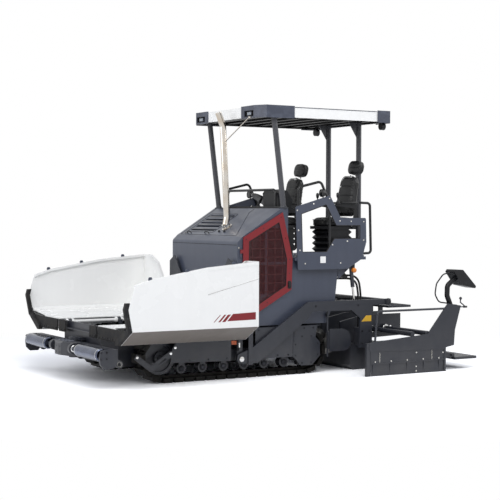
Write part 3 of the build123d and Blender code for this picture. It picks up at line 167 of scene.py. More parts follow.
def worn_edges(tree, place):
    """Mask of rubbed edges: where a normal rounded over 4 mm leaves the true one, broken up by 30 mm noise."""
    rounded = add_node(tree, "Bevel", values={"Radius": 0.004}, samples=4)
    true = add_node(tree, "NewGeometry").outputs["True Normal"]
    facing = add_node(tree, "VectorMath", {0: rounded, 1: true}, operation="DOT_PRODUCT").outputs["Value"]
    edge = add_node(tree, "MapRange", {"Value": facing}, {"From Min": 0.93, "From Max": 0.78})
    rub = add_node(tree, "TexNoise", {"Vector": place}, {"Scale": 33.0, "Detail": 4.0})
    patchy = add_node(tree, "MapRange", {"Value": rub}, {"From Min": 0.42, "From Max": 0.62})
    return add_node(tree, "Math", {0: edge, 1: patchy}, operation="MULTIPLY")


def boxed(tree, place, colour, painted_shade_colour, box):
    """The colour, or inside a box a darker colour as painted shade, where there is a box of two corners.

    A point is inside where the largest of its three distances from the middle, each over the half side, is below 1.
    """
    if not box:
        return colour
    low, high = np.array(box)
    shifted = add_node(tree, "VectorMath", {0: place}, {1: (low + high) / 2}, operation="SUBTRACT")
    folded = add_node(tree, "VectorMath", {0: shifted}, operation="ABSOLUTE")
    scaled = add_node(tree, "VectorMath", {0: folded}, {1: (high - low) / 2}, operation="DIVIDE")
    parts = add_node(tree, "SeparateXYZ", {"Vector": scaled}).outputs
    wide = add_node(tree, "Math", {0: parts[0], 1: parts[1]}, operation="MAXIMUM")
    most = add_node(tree, "Math", {0: wide, 1: parts[2]}, operation="MAXIMUM")
    inside = add_node(tree, "Math", {0: most}, {1: 1.0}, operation="LESS_THAN")
    return add_node(tree, "Mix", {"Factor": inside, "A": colour}, {"B": linear(painted_shade_colour)},
                    data_type="RGBA").outputs["Result"]


def sprayed_enamel(name, paint, dust, roughness, dust_top=0.9, dust_share=0.3, rubbed="#8d8f92", rain=0.94,
                   painted_shade_colour=None, box=None):
    """Two-pack enamel sprayed over blasted plate and baked; inside the box it takes a darker colour as painted shade.
    """
    # To the eye: an even colour with a soft broad highlight, fine orange peel in it, grey dust that thins out
    # with height, rain streaks hardly darker than the paint, and edges rubbed to primer.
    tree, place = start_material(name, paint)
    cloud = add_node(tree, "TexNoise", {"Vector": place}, {"Scale": 4.0, "Detail": 5.0})
    patch = add_node(tree, "MapRange", {"Value": cloud}, {"From Min": 0.35, "From Max": 0.7, "To Min": 0.2})
    height = add_node(tree, "SeparateXYZ", {"Vector": place}).outputs["Z"]
    low = add_node(tree, "MapRange", {"Value": height},
                   {"From Min": 0.1, "From Max": dust_top, "To Min": dust_share, "To Max": dust_share / 8})
    dusty = add_node(tree, "Math", {0: low, 1: patch}, operation="MULTIPLY")
    skin = add_node(tree, "ValToRGB", {"Fac": dusty}, stops=[(0.0, linear(paint)), (1.0, linear(dust))])
    upright = add_node(tree, "Mapping", {"Vector": place}, {"Scale": (14.0, 14.0, 0.8)})
    streaks = add_node(tree, "TexNoise", {"Vector": upright}, {"Scale": 1.0, "Detail": 3.0})
    shade = add_node(tree, "ValToRGB", {"Fac": streaks}, stops=[(0.35, grey(rain)), (0.6, grey(1.0))])
    streaked = add_node(tree, "Mix", {"A": boxed(tree, place, skin, painted_shade_colour, box), "B": shade}, {"Factor": 1.0},
                        data_type="RGBA", blend_type="MULTIPLY").outputs["Result"]
    colour = add_node(tree, "Mix", {"Factor": worn_edges(tree, place), "A": streaked}, {"B": linear(rubbed)},
                      data_type="RGBA").outputs["Result"]
    peel = add_node(tree, "TexNoise", {"Vector": place}, {"Scale": 160.0, "Detail": 2.0})
    finish_material(tree, colour, peel, 0.6, 0.00012,
                    {"Specular IOR Level": 0.4, "Coat Weight": 0.12, "Coat Roughness": 0.12},
                    (cloud, roughness - 0.05, roughness + 0.08))


def worn_steel(name, bright, dark, roughness, grain=90.0):
    """Rolled and forged steel, bare where it works: a conveyor's slat, an auger's blade, a roller's shell."""
    # To the eye: patches rubbed bright among dark scale, with broken highlights and fine pits.
    tree, place = start_material(name, dark)
    rubbed, colour = clouded(tree, place, (dark, bright), (0.38, 0.62), 1000 / grain, 6.0, 0.65)
    pits = add_node(tree, "TexNoise", {"Vector": place}, {"Scale": 200.0, "Detail": 4.0, "Roughness": 0.7})
    finish_material(tree, colour, pits, 0.7, 0.00035, {"Metallic": 0.8}, (rubbed, roughness + 0.2, roughness))


def track_chain(name, steel, scale, rubber, pad_reach):
    """Forged track links with bolted pads of moulded rubber."""
    # To the eye: brown-black worn steel inside, and dull ribbed black rubber where a point lies further than the
    # pads' foot from the line that joins the two axles.
    tree, place = start_material(name, scale)
    split = add_node(tree, "SeparateXYZ", {"Vector": place}).outputs
    held = add_node(tree, "Clamp", {"Value": split["X"]}, {"Min": SPROCKET_X, "Max": IDLER_X})
    along = add_node(tree, "Math", {0: split["X"], 1: held}, operation="SUBTRACT")
    above = add_node(tree, "Math", {0: split["Z"]}, {1: AXLE_Z}, operation="SUBTRACT")
    away = add_node(tree, "CombineXYZ", {"X": along, "Z": above})
    reach = add_node(tree, "VectorMath", {0: away}, operation="LENGTH").outputs["Value"]
    padded = add_node(tree, "Math", {0: reach}, {1: pad_reach}, operation="GREATER_THAN")
    cloud, metal = clouded(tree, place, (scale, steel), (0.40, 0.64), 14.0, 6.0, 0.65)
    pads = add_node(tree, "ValToRGB", {"Fac": cloud}, stops=[(0.42, linear(rubber)), (0.75, linear("#3b3834"))])
    colour = add_node(tree, "Mix", {"Factor": padded, "A": metal, "B": pads}, data_type="RGBA").outputs["Result"]
    metallic = add_node(tree, "MapRange", {"Value": padded}, {"To Min": 0.7, "To Max": 0.0})
    dullness = add_node(tree, "MapRange", {"Value": padded}, {"To Min": 0.48, "To Max": 0.78})
    pits = add_node(tree, "TexNoise", {"Vector": place}, {"Scale": 150.0, "Detail": 4.0, "Roughness": 0.7})
    finish_material(tree, colour, pits, 0.6, 0.0005, {"Specular IOR Level": 0.25}, Metallic=metallic,
                    Roughness=dullness)


def polished_tube(name, colour, stain, roughness, lines_scale=(70.0, 70.0, 2.5)):
    """Polished stainless or hard-chromed tube, drawn and then buffed."""
    # To the eye: mirror bright, with fine drawn lines across the highlight and faint heat or hand stains.
    tree, place = start_material(name, colour)
    stretched = add_node(tree, "Mapping", {"Vector": place}, {"Scale": lines_scale})
    lines = add_node(tree, "TexNoise", {"Vector": stretched}, {"Scale": 1.0, "Detail": 2.0})
    tint = clouded(tree, place, (colour, stain), (0.40, 0.68), 7.0, 3.0)[1]
    finish_material(tree, tint, lines, 0.2, 0.00002, {"Metallic": 1.0}, (lines, roughness, roughness + 0.12))


def black_rubber(name, colour, dust, grain=8.0):
    """Vulcanised rubber, pressed in a mould or extruded as hose."""
    # To the eye: dull black greyed by dust in clouds, with a fine grain and no clear highlight.
    tree, place = start_material(name, colour)
    tint = clouded(tree, place, (colour, dust), (0.40, 0.75), 8.0, 5.0)[1]
    pores = add_node(tree, "TexNoise", {"Vector": place}, {"Scale": 1000 / grain, "Detail": 4.0})
    finish_material(tree, tint, pores, 0.6, 0.0005, {"Roughness": 0.8, "Specular IOR Level": 0.35})


def moulded_plastic(name, colour, scuff, roughness, grain=3.0, shine=0.5, painted_shade_colour=None, box=None):
    """Injection-moulded or vacuum-formed sheet with a spark-eroded grain; inside the box it takes a darker colour as
    painted shade.
    """
    # To the eye: an even satin skin, its gloss broken into fine grain, a little paler where hands or boots rub.
    tree, place = start_material(name, colour)
    tint = clouded(tree, place, (colour, scuff), (0.45, 0.80), 11.0, 5.0)[1]
    pores = add_node(tree, "TexNoise", {"Vector": place}, {"Scale": 1000 / grain, "Detail": 2.0})
    finish_material(tree, boxed(tree, place, tint, painted_shade_colour, box), pores, 0.5, 0.00012, {"Specular IOR Level": shine},
                    (pores, roughness, roughness + 0.1))


def seat_vinyl(name, colour, worn):
    """Calendered vinyl on a cloth backing, embossed by a roller and stretched over foam."""
    # To the eye: leather-like cells of about 5 mm in a low sheen, smoother and greyer where it is sat on.
    tree, place = start_material(name, colour)
    cells = add_node(tree, "TexVoronoi", {"Vector": place}, {"Scale": 200.0}, feature="DISTANCE_TO_EDGE")
    cloud, tint = clouded(tree, place, (colour, worn), (0.45, 0.8), 12.0, 4.0)
    finish_material(tree, tint, cells, 0.5, 0.0004, {"Specular IOR Level": 0.35}, (cloud, 0.44, 0.56))


def pressed_lens(name, colour, glow):
    """A lamp's lens: clear or tinted acrylic pressed with ribs, over a bright reflector."""
    # To the eye: a glassy highlight cut up by upright ribs, and a little light from within.
    tree, place = start_material(name, colour)
    ribs = add_node(tree, "TexWave", {"Vector": place}, {"Scale": 60.0, "Distortion": 0.4},
                    bands_direction="Y").outputs["Fac"]
    tint = add_node(tree, "ValToRGB", {"Fac": ribs},
                    stops=[(0.1, linear(colour)), (0.9, tuple(0.6 * c for c in linear(colour)[:3]) + (1.0,))])
    finish_material(tree, tint, ribs, 0.6, 0.0006,
                    {"Roughness": 0.12, "Emission Color": linear(colour), "Emission Strength": glow})


def make_materials(colours):
    """Every finish of the machine, by a plain name."""
    dust = "#8a867f"
    # painted shade: the inside of the white roof shell, under its top, is near black
    roof_underside_shade = ((-1.655, -0.918, 3.200), (0.340, 0.918, 3.4225))
    # painted shade: the red doors' faces that lie deeper than the mesh, inside the window, turn deep red
    door_inside_shade = ((-1.0, -0.8993, 0.5), (1.0, 0.8993, 2.2))
    sprayed_enamel("white_enamel", colours.white, "#cfcdc8", 0.24, 1.0, 0.04, "#e7e7e5", 0.992)
    # white darkened to taupe as painted shade, for the wings' folded underside and the shadow line of their crease
    sprayed_enamel("shadow_enamel", "#6e6761", "#665f58", 0.45, 1.0, 0.2)
    sprayed_enamel("grey_enamel", colours.grey, dust, 0.36, 0.9, 0.2, "#6a6f79")
    # the frame's grey darkened as painted shade, for the low running gear, the screed and its end plates, which lie in
    # shade; the grille rim, collars and treads take the same grey
    sprayed_enamel("painted_shade_grey_enamel", colours.dark, dust, 0.42, 0.7, 0.12, "#54565c")
    sprayed_enamel("red_enamel", colours.red, "#7c4a47", 0.30, 0.9, 0.12, "#98373f", 0.96, "#35080c", door_inside_shade)
    sprayed_enamel("mesh_enamel", "#4e1116", "#4a3532", 0.45, 0.9, 0.2, "#5a3a3a")
    sprayed_enamel("post_enamel", "#3d3e43", dust, 0.42, 0.7, 0.12, "#6a6b70")
    sprayed_enamel("orange_enamel", "#c8561a", dust, 0.4)
    sprayed_enamel("yellow_enamel", "#dfae1a", dust, 0.4)
    moulded_plastic("white_moulding", colours.white, "#e9e9e6", 0.45, 3.0, 0.2, "#08080a", roof_underside_shade)
    moulded_plastic("blue_grey_moulding", colours.slate, "#4a505e", 0.38)
    moulded_plastic("black_plastic", "#101114", "#1d1e22", 0.38, 3.0, 0.3)
    moulded_plastic("black_tube", "#0c0d10", "#17181c", 0.26, 12.0, 0.4)
    moulded_plastic("screen_glass", "#07080b", "#0c0f12", 0.08, 40.0)
    # near-black as painted shade: in the hood's lid seams, behind the grille's slots and round the roof's front lamps
    moulded_plastic("painted_shade_black", "#050505", "#0d0b0a", 0.85, 3.0, 0.1)
    worn_steel("worn_steel", "#6f6e6c", "#2b2a29", 0.35)
    polished_tube("roller_steel", "#5d6374", "#525766", 0.16, (70.0, 2.5, 70.0))
    worn_steel("zinc_bolt", "#dad8d3", "#b0ada6", 0.3, 60.0)
    worn_steel("dark_bolt", "#3a3b40", "#1c1d20", 0.4, 60.0)
    track_chain("track_steel", "#211f1d", "#0f0f0e", "#0c0d0e", 0.285)
    polished_tube("chrome_rod", "#dcdddd", "#c4c2be", 0.08)
    polished_tube("exhaust_steel", "#d0cbc4", "#c4b9ab", 0.07)
    black_rubber("rubber", "#111114", "#2a2825")
    seat_vinyl("seat_vinyl", "#0b0c0e", "#17181b")
    pressed_lens("lamp_lens", "#8f979e", 0.03)
    pressed_lens("amber_lens", "#d2791c", 0.2)


NODE_FINISH = {
    "white_enamel": ["wing_left", "wing_right"],
    "white_moulding": ["canopy_roof"],
    "blue_grey_moulding": ["canopy_mouldings"],
    "red_enamel": ["side_door_left", "side_door_right"],
    "track_steel": ["track_left", "track_right"],
    "worn_steel": ["conveyor", "auger_left", "auger_right"],
    "roller_steel": ["push_roller_left", "push_roller_right"],
    "rubber": ["wing_seal_left", "wing_seal_right", "apron_flaps", "hydraulic_hoses"],
    "chrome_rod": ["lift_rods"],
    "exhaust_steel": ["exhaust_pipe"],
    "black_plastic": ["operator_console", "seat_frames", "console_left", "console_right", "lamps"],
    "black_tube": ["handrails"],
    "seat_vinyl": ["seat_left", "seat_right"],
    "painted_shade_grey_enamel": ["push_beam", "track_frames", "chassis_frame", "levelling_cylinders", "tow_arms", "screed_main",
                    "extension_left", "extension_right", "footboard_left", "footboard_right", "auger_frame",
                    "lift_barrels", "engine_block"],
    "post_enamel": ["canopy_posts"],
}


# Shapes as arrays


def grid_faces(rows, columns, wrap_rows=False, wrap_columns=False):
    """Quads that join a grid of points, rows by columns."""
    row, column = np.meshgrid(np.arange(rows - (not wrap_rows)), np.arange(columns - (not wrap_columns)),
                              indexing="ij")
    near, far = row % rows, (row + 1) % rows
    left, right = column % columns, (column + 1) % columns
    return np.stack([near * columns + left, far * columns + left, far * columns + right, near * columns + right],
                    axis=-1).reshape(-1, 4)


def grid(points, wrap_rows=False, wrap_columns=False):
    """A surface from a grid of points: (vertices, quads)."""
    rows, columns = points.shape[:2]
    return points.reshape(-1, 3), grid_faces(rows, columns, wrap_rows, wrap_columns)


def joined(*surfaces):
    """Several surfaces as one pair of arrays."""
    vertices, faces, start = [], [], 0
    for points, quads in surfaces:
        vertices.append(points)
        faces.append(quads + start)
        start += len(points)
    return np.concatenate(vertices), np.concatenate(faces)


def on_side(places, side):
    """Places of the left side as they are, or mirrored where side is -1."""
    return np.asarray(places) * (1, side, 1)


def both(make):
    """What a function of the side makes on the right and on the left, as one surface."""
    return joined(*(make(side) for side in (-1, 1)))


def circle(sides, turn=0.0):
    """Cosines and sines round a circle."""
    angle = np.linspace(0, 2 * np.pi, sides, endpoint=False) + turn
    return np.cos(angle), np.sin(angle)


def axes_across(direction):
    """Two unit vectors square to a direction."""
    along = np.asarray(direction, float)
    along = along / np.linalg.norm(along)
    spare = np.array([0.0, 0.0, 1.0]) if abs(along[2]) < 0.9 else np.array([1.0, 0.0, 0.0])
    side = np.cross(spare, along)
    side /= np.linalg.norm(side)
    return side, np.cross(along, side), along


def revolved(profile, base, direction, sides=24, turn=0.0):
    """A profile of (radius, height) rows turned about a line through base; its ends meet the axis."""
    profile = np.asarray(profile, float)
    side, other, along = axes_across(direction)
    cosines, sines = circle(sides, turn)
    ring = cosines[:, None] * side + sines[:, None] * other
    points = (np.asarray(base, float) + profile[:, 0, None, None] * ring[None]
              + profile[:, 1, None, None] * along[None, None])
    return grid(points, wrap_columns=True)


def swept(path, radius, sides=12):
    """A round section carried along a path of points; the section narrows to a point just past each end."""
    path = np.asarray(path, float)
    heading = np.gradient(path, axis=0)
    heading /= np.linalg.norm(heading, axis=1, keepdims=True)
    reference = np.array([0.0, 0.0, 1.0]) if np.abs(heading[:, 2]).max() < 0.95 else np.array([0.0, 1.0, 0.0])
    if np.abs(heading @ reference).max() > 0.95:
        reference = np.array([0.3, 1.0, 0.2]) / np.linalg.norm([0.3, 1.0, 0.2])
    side = np.cross(heading, reference)
    side /= np.linalg.norm(side, axis=1, keepdims=True)
    other = np.cross(heading, side)
    cosines, sines = circle(sides)
    radii = np.pad(np.full(len(path), float(radius)), 1)
    path, side, other = (np.concatenate([rows[:1], rows, rows[-1:]]) for rows in (path, side, other))
    points = path[:, None] + radii[:, None, None] * (cosines[None, :, None] * side[:, None]
                                                     + sines[None, :, None] * other[:, None])
    return grid(points, wrap_columns=True)


def rounded_outline(width, height, radius, steps=5):
    """Points round a rectangle with round corners, centred on its middle."""
    quarter = np.linspace(0, np.pi / 2, steps)
    corners = []
    for number, (sx, sy) in enumerate(((1, 1), (-1, 1), (-1, -1), (1, -1))):
        angle = quarter + number * np.pi / 2
        corners.append(np.stack([sx * (width / 2 - radius) + radius * np.cos(angle),
                                 sy * (height / 2 - radius) + radius * np.sin(angle)], axis=-1))
    return np.concatenate(corners)


def stacked(outline, scales, heights, base, direction, side):
    """An outline raised along a direction: at each height it is scaled about its middle by a pair of scales."""
    along = np.asarray(direction, float) / np.linalg.norm(direction)
    side = np.asarray(side, float) / np.linalg.norm(side)
    middle = outline.mean(axis=0)
    flat = middle + (outline - middle)[None] * scales[:, None]
    points = (np.asarray(base, float) + flat[..., 0, None] * side + flat[..., 1, None] * np.cross(along, side)
              + heights[:, None, None] * along)
    return grid(points, wrap_columns=True)


def slab(outline, base, direction, side, thickness, bevel):
    """A convex outline raised along a direction, with bevelled rims; sections shrink by the bevel at both ends."""
    outline = np.asarray(outline, float)
    shrink = 1 - bevel / np.abs(outline - outline.mean(axis=0)).max(axis=0)
    scales = np.array([[0, 0], shrink, [1, 1], [1, 1], shrink, [0, 0]])
    heights = np.array([0, 0, bevel, thickness - bevel, thickness, thickness])
    return stacked(outline, scales, heights, base, direction, side)


def box_slab(low, high, bevel=0.003):
    """A box between two corners with bevelled edges."""
    low, high = np.asarray(low, float), np.asarray(high, float)
    size = high - low
    outline = rounded_outline(size[0], size[1], min(bevel, size[0] / 3, size[1] / 3), 3)
    base = ((low[0] + high[0]) / 2, (low[1] + high[1]) / 2, low[2])
    return slab(outline, base, (0, 0, 1), (1, 0, 0), size[2], min(bevel, size[2] / 3))


def hex_bolts(places, direction, across=0.019, height=0.008):
    """Hexagon heads on washers at every place, all pointing the same way."""
    radius = across / math.sqrt(3)
    washer = revolved([(0, 0), (radius * 1.25, 0), (radius * 1.25, height * 0.3), (0, height * 0.3)], (0, 0, 0),
                      direction, 14)
    head = revolved([(0, height * 0.25), (radius, height * 0.25), (radius, height * 0.9),
                     (radius * 0.82, height), (0, height)], (0, 0, 0), direction, 6)
    return copies_at(joined(washer, head), places)


def add_object(name, data):
    """An object that holds the data, in the scene's collection."""
    holder = bpy.data.objects.new(name, data)
    bpy.context.collection.objects.link(holder)
    return holder


def add_piece(name, surface, finish, body="chassis", smooth=40.0):
    """Puts arrays into a mesh object, closes and orients it, gives it a finish and lets it ride on a body."""
    points, quads = surface
    mesh = bpy.data.meshes.new(name)
    mesh.from_pydata(points.tolist(), [], quads.tolist())
    work = bmesh.new()
    work.from_mesh(mesh)
    bmesh.ops.remove_doubles(work, verts=work.verts, dist=1e-6)
    bmesh.ops.dissolve_degenerate(work, edges=work.edges, dist=1e-7)
    bmesh.ops.recalc_face_normals(work, faces=work.faces)
    work.to_mesh(mesh)
    work.free()
    mesh.update()
    mesh.materials.append(MATERIALS[finish])
    piece = add_object(name, mesh)
    mesh.shade_smooth()
    mesh.set_sharp_from_angle(angle=math.radians(smooth))
    if body:
        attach(piece, body)
    return piece


def grids(points):
    """Many equal closed sections at once, from an array of copies, rows, columns and 3: (vertices, quads)."""
    copies, rows, columns = points.shape[:3]
    quads = grid_faces(rows, columns, wrap_columns=True)
    starts = np.arange(copies) * rows * columns
    return points.reshape(-1, 3), (quads[None] + starts[:, None, None]).reshape(-1, 4)


def copies_at(surface, places):
    """Copies of one surface, each moved to a place."""
    points, quads = surface
    places = np.asarray(places, float)
    starts = np.arange(len(places)) * len(points)
    return ((places[:, None] + points[None]).reshape(-1, 3), (quads[None] + starts[:, None, None]).reshape(-1, 4))


def bars(starts, ends, radius, sides=6):
    """Straight bars between pairs of points: a ring at each end, and each end closed at its middle."""
    starts, ends = np.asarray(starts, float), np.asarray(ends, float)
    along = ends - starts
    along /= np.linalg.norm(along, axis=1, keepdims=True)
    spare = np.where(np.abs(along[:, 2:]) < 0.9, [[0.0, 0.0, 1.0]], [[1.0, 0.0, 0.0]])
    side = np.cross(spare, along)
    side /= np.linalg.norm(side, axis=1, keepdims=True)
    other = np.cross(along, side)
    cosines, sines = circle(sides, np.pi / sides)
    ring = cosines[None, :, None] * side[:, None] + sines[None, :, None] * other[:, None]
    stations = np.stack([starts, starts, ends, ends], axis=1)
    radii = np.array([0.0, radius, radius, 0.0])
    return grids(stations[:, :, None] + radii[None, :, None, None] * ring[:, None])


def side_plate(outline, face_y, side, thickness, bevel=0.0006):
    """A convex outline of (x, z) points raised sideways from a wall that stands at face_y."""
    return slab(np.asarray(outline, float) * (1, -side), (0, side * face_y, 0), (0, side, 0), (1, 0, 0), thickness,
                bevel)


def dome(places, direction, radius, height, sides=14):
    """Domed heads: a quarter circle turned about each place."""
    arc = np.linspace(0, np.pi / 2, 5)
    profile = [(0, 0), (radius, 0), *zip(radius * np.cos(arc), height * (0.3 + 0.7 * np.sin(arc)))]
    return copies_at(revolved(profile, (0, 0, 0), direction, sides), places)


def smooth_path(points, steps=60):
    """A quadratic spline pulled towards its points: each step blends three neighbours by squared weights."""
    points = np.asarray(points, float)
    spans = len(points) - 2
    place = np.linspace(0, spans, steps)
    first = np.minimum(place.astype(int), spans - 1)
    share = (place - first)[:, None]
    near, middle, far = points[first], points[first + 1], points[first + 2]
    start = np.where((first == 0)[:, None], near, (near + middle) / 2)
    end = np.where((first == spans - 1)[:, None], far, (middle + far) / 2)
    return (1 - share) ** 2 * start + 2 * share * (1 - share) * middle + share ** 2 * end


def span_inside(outline, offset, axis):
    """Where a straight line at a fixed x (axis 0) or z (axis 1) enters and leaves a convex outline."""
    outline = np.asarray(outline, float)
    ahead = np.roll(outline, -1, axis=0)
    low, high = outline[:, axis], ahead[:, axis]
    crossing = (low - offset) * (high - offset) < 0
    share = (offset - low[crossing]) / (high[crossing] - low[crossing])
    other = outline[crossing, 1 - axis] + share * (ahead - outline)[crossing, 1 - axis]
    return (other.min(), other.max()) if crossing.sum() == 2 else None


def pad(outline, base, direction, side, thickness, crown):
    """An upholstered pad: its section swells from a flat back to a waisted side and a crowned face."""
    rows = np.array([(0, 0), (0.55, 0), (0.90, 0.0), (0.965, 0.05), (0.99, 0.2), (0.978, 0.5), (0.99, 0.78),
                     (0.965, 0.92), (0.92, 0.985), (0.82, 1.0), (0.66, 1.0), (0.48, 1.0), (0.3, 1.0), (0.14, 1.0),
                     (0, 1.0)])
    scale, level = rows[:, 0], rows[:, 1] * thickness
    level = level + np.where(rows[:, 1] >= 0.98, crown * (1 - (scale / 0.95) ** 2).clip(0), 0)
    return stacked(outline, rows[:, [0, 0]], level, base, direction, side)


def mirrored(surface):
    """The same surface on the right-hand side."""
    points, quads = surface
    return points * (1, -1, 1), quads[:, ::-1]


# Settings and operators


class PaverColours(bpy.types.PropertyGroup):
    """Paint colours, as sRGB hex."""

    white: bpy.props.StringProperty(name="White", description="Enamel of the hopper and the canopy", default="#eeeeec")
    grey: bpy.props.StringProperty(name="Grey", description="Enamel of the frame and the hood", default="#3d4352")
    slate: bpy.props.StringProperty(name="Slate", description="Mouldings at the canopy's corners", default="#343947")
    # the grey darkened as painted shade, for the low parts that lie in shade
    dark: bpy.props.StringProperty(name="Dark grey", description="Enamel of the running gear", default="#21242d")
    red: bpy.props.StringProperty(name="Red", description="Enamel of the side doors and stripes", default="#780d18")


class PaverSizes(bpy.types.PropertyGroup):
    """Patterns that repeat."""

    mesh_pitch: bpy.props.FloatProperty(name="Mesh pitch", description="Between the wires of the doors' mesh",
                                        default=0.022, min=0.012, unit="LENGTH")
    tread_pitch: bpy.props.FloatProperty(name="Tread pitch", description="Between the lozenges of the deck",
                                         default=0.038, min=0.02, unit="LENGTH")


class PaverSeats(bpy.types.PropertyGroup):
    """The operator's seats."""

    lean: bpy.props.FloatProperty(name="Lean", description="How far the backs lean back", default=math.radians(10.6),
                                  subtype="ANGLE", unit="ROTATION")
    crown: bpy.props.FloatProperty(name="Crown", description="How far each pad's middle stands proud of its rim",
                                   default=0.012, unit="LENGTH")
    swell: bpy.props.FloatProperty(name="Swell", description="The most that cloth may move as a pad fills",
                                   default=0.018, unit="LENGTH")


class PaverStudio(bpy.types.PropertyGroup):
    """Camera and lights."""

    lens: bpy.props.FloatProperty(name="Lens", description="Focal length on a 36 mm sensor", default=92.74,
                                  unit="CAMERA")
    place: bpy.props.FloatVectorProperty(name="Place", description="Where the camera stands", size=3,
                                         default=(8.676, 14.856, 2.052), subtype="TRANSLATION", unit="LENGTH")
    yaw: bpy.props.FloatProperty(name="Yaw", description="Heading of the camera from +X",
                                 default=math.radians(239.59), subtype="ANGLE", unit="ROTATION")
    pitch: bpy.props.FloatProperty(name="Pitch", description="How far the camera looks down",
                                   default=math.radians(-1.589), subtype="ANGLE", unit="ROTATION")
    roll: bpy.props.FloatProperty(name="Roll", description="How far the camera leans",
                                  default=math.radians(0.22), subtype="ANGLE", unit="ROTATION")
    key: bpy.props.FloatProperty(name="Key light", description="Strength of the large overhead light, in watts",
                                 default=690.0, unit="POWER")
    sky: bpy.props.FloatProperty(name="Sky", description="Strength of the even light from all round", default=0.42)
    paper: bpy.props.FloatProperty(name="Paper", description="How pale the floor is to the lens", default=1.32)


class PAVER_OT_finishes(bpy.types.Operator):
    """Makes every finish and puts one on each CAD node."""

    bl_idname = "paver.finishes"
    bl_label = "Finishes"

    def execute(self, context):
        make_materials(context.scene.paver_colours)
        finish_of = {node: finish for finish, nodes in NODE_FINISH.items() for node in nodes}
        for node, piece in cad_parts.items():
            finish = MATERIALS[finish_of.get(node, "grey_enamel")]
            piece.data.materials.clear()
            piece.data.materials.append(finish)
        return {"FINISHED"}


class PAVER_OT_hopper(bpy.types.Operator):
    """Painted bands, underside skins of painted shade, a painted shadow line on the crease, lifting lugs and the bolts
    of the rubber strips on both wings.
    """

    bl_idname = "paver.hopper"
    bl_label = "Hopper"

    def execute(self, context):
        # the band that runs to the rear, and three slanted strokes in front of it
        slashes = [[(0.802, 0.790), (1.197, 0.783), (1.117, 0.868), (0.802, 0.879)]]
        strokes = ((1.380, 1.368, 1.281, 1.293), (1.318, 1.290, 1.208, 1.236), (1.266, 1.222, 1.144, 1.186))
        for foot_front, foot_rear, head_rear, head_front in strokes:
            slashes.append([(foot_front, 0.776), (foot_rear, 0.776), (head_rear, 0.862), (head_front, 0.862)])
        slope = np.array((0.0, WING_FACE - WING_FOLD_Y, WING_BOTTOM - WING_FOLD_Z))
        slope_length = np.linalg.norm(slope)
        for side, letter in SIDES:
            body = f"wing_{letter}"
            band = joined(*(side_plate(outline, WING_FACE, side, 0.0008, 0.0002) for outline in slashes))
            add_piece(f"wing_band_{letter}", band, "red_enamel", body)
            # the folded underside, in two sheets that meet below the seam of the side wall: taupe skins over the white,
            # as painted shade
            outward = (0, side * slope[2] / slope_length, -slope[1] / slope_length)
            sheets = []
            for rear, front in ((WING_REAR + 0.004, 1.592), (1.5925, WING_FRONT - 0.004)):
                outline = [(rear, side * 0.004), (front, side * 0.004), (front, side * (slope_length - 0.004)),
                           (rear, side * (slope_length - 0.004))]
                sheets.append(slab(outline, (0, side * WING_FACE, WING_BOTTOM), outward, (1, 0, 0), 0.0015, 0.0004))
            add_piece(f"wing_underside_painted_shade_{letter}", joined(*sheets), "shadow_enamel", body)
            # a painted shadow line along the crease that climbs to the rear
            crease = np.array([[(x, side * (WING_FACE + 0.0002), z)] for x, z in ((1.456, 1.103), (0.766, 1.276))])
            add_piece(f"wing_crease_shadow_line_{letter}", bars(*crease, 0.0016, 6), "shadow_enamel", body)
            # lugs with a hole along the top rim, and the clamped strips' bolts
            lugs = [side_plate(rounded_outline(0.05, 0.05, 0.02, 6) + (x, z), WING_FACE - 0.020, side, 0.008, 0.001)
                    for x, z in ((1.10, 1.463), (1.72, 1.386), (2.20, 1.302))]
            add_piece(f"wing_lugs_{letter}", joined(*lugs), "grey_enamel", body)
            strip = [(WING_FRONT + 0.022, side * y, 0.578) for y in np.linspace(0.71, 1.16, 7)]
            nose = [(x, side * (WING_FACE - 0.005), z) for x, z in ((2.462, 0.755), (2.487, 0.86), (2.502, 0.96))]
            add_piece(f"wing_bolts_{letter}", joined(hex_bolts(strip, (1, 0, 0), 0.017, 0.007),
                                                     dome(nose, (0, side, 0), 0.010, 0.004)),
                      "dark_bolt", body)
        apron = [(WING_FRONT + 0.022, y, 0.578) for y in (-0.55, -0.485, -0.42, 0.42, 0.485, 0.55)]
        add_piece("apron_bolts", hex_bolts(apron, (1, 0, 0), 0.017, 0.007), "dark_bolt")
        return {"FINISHED"}


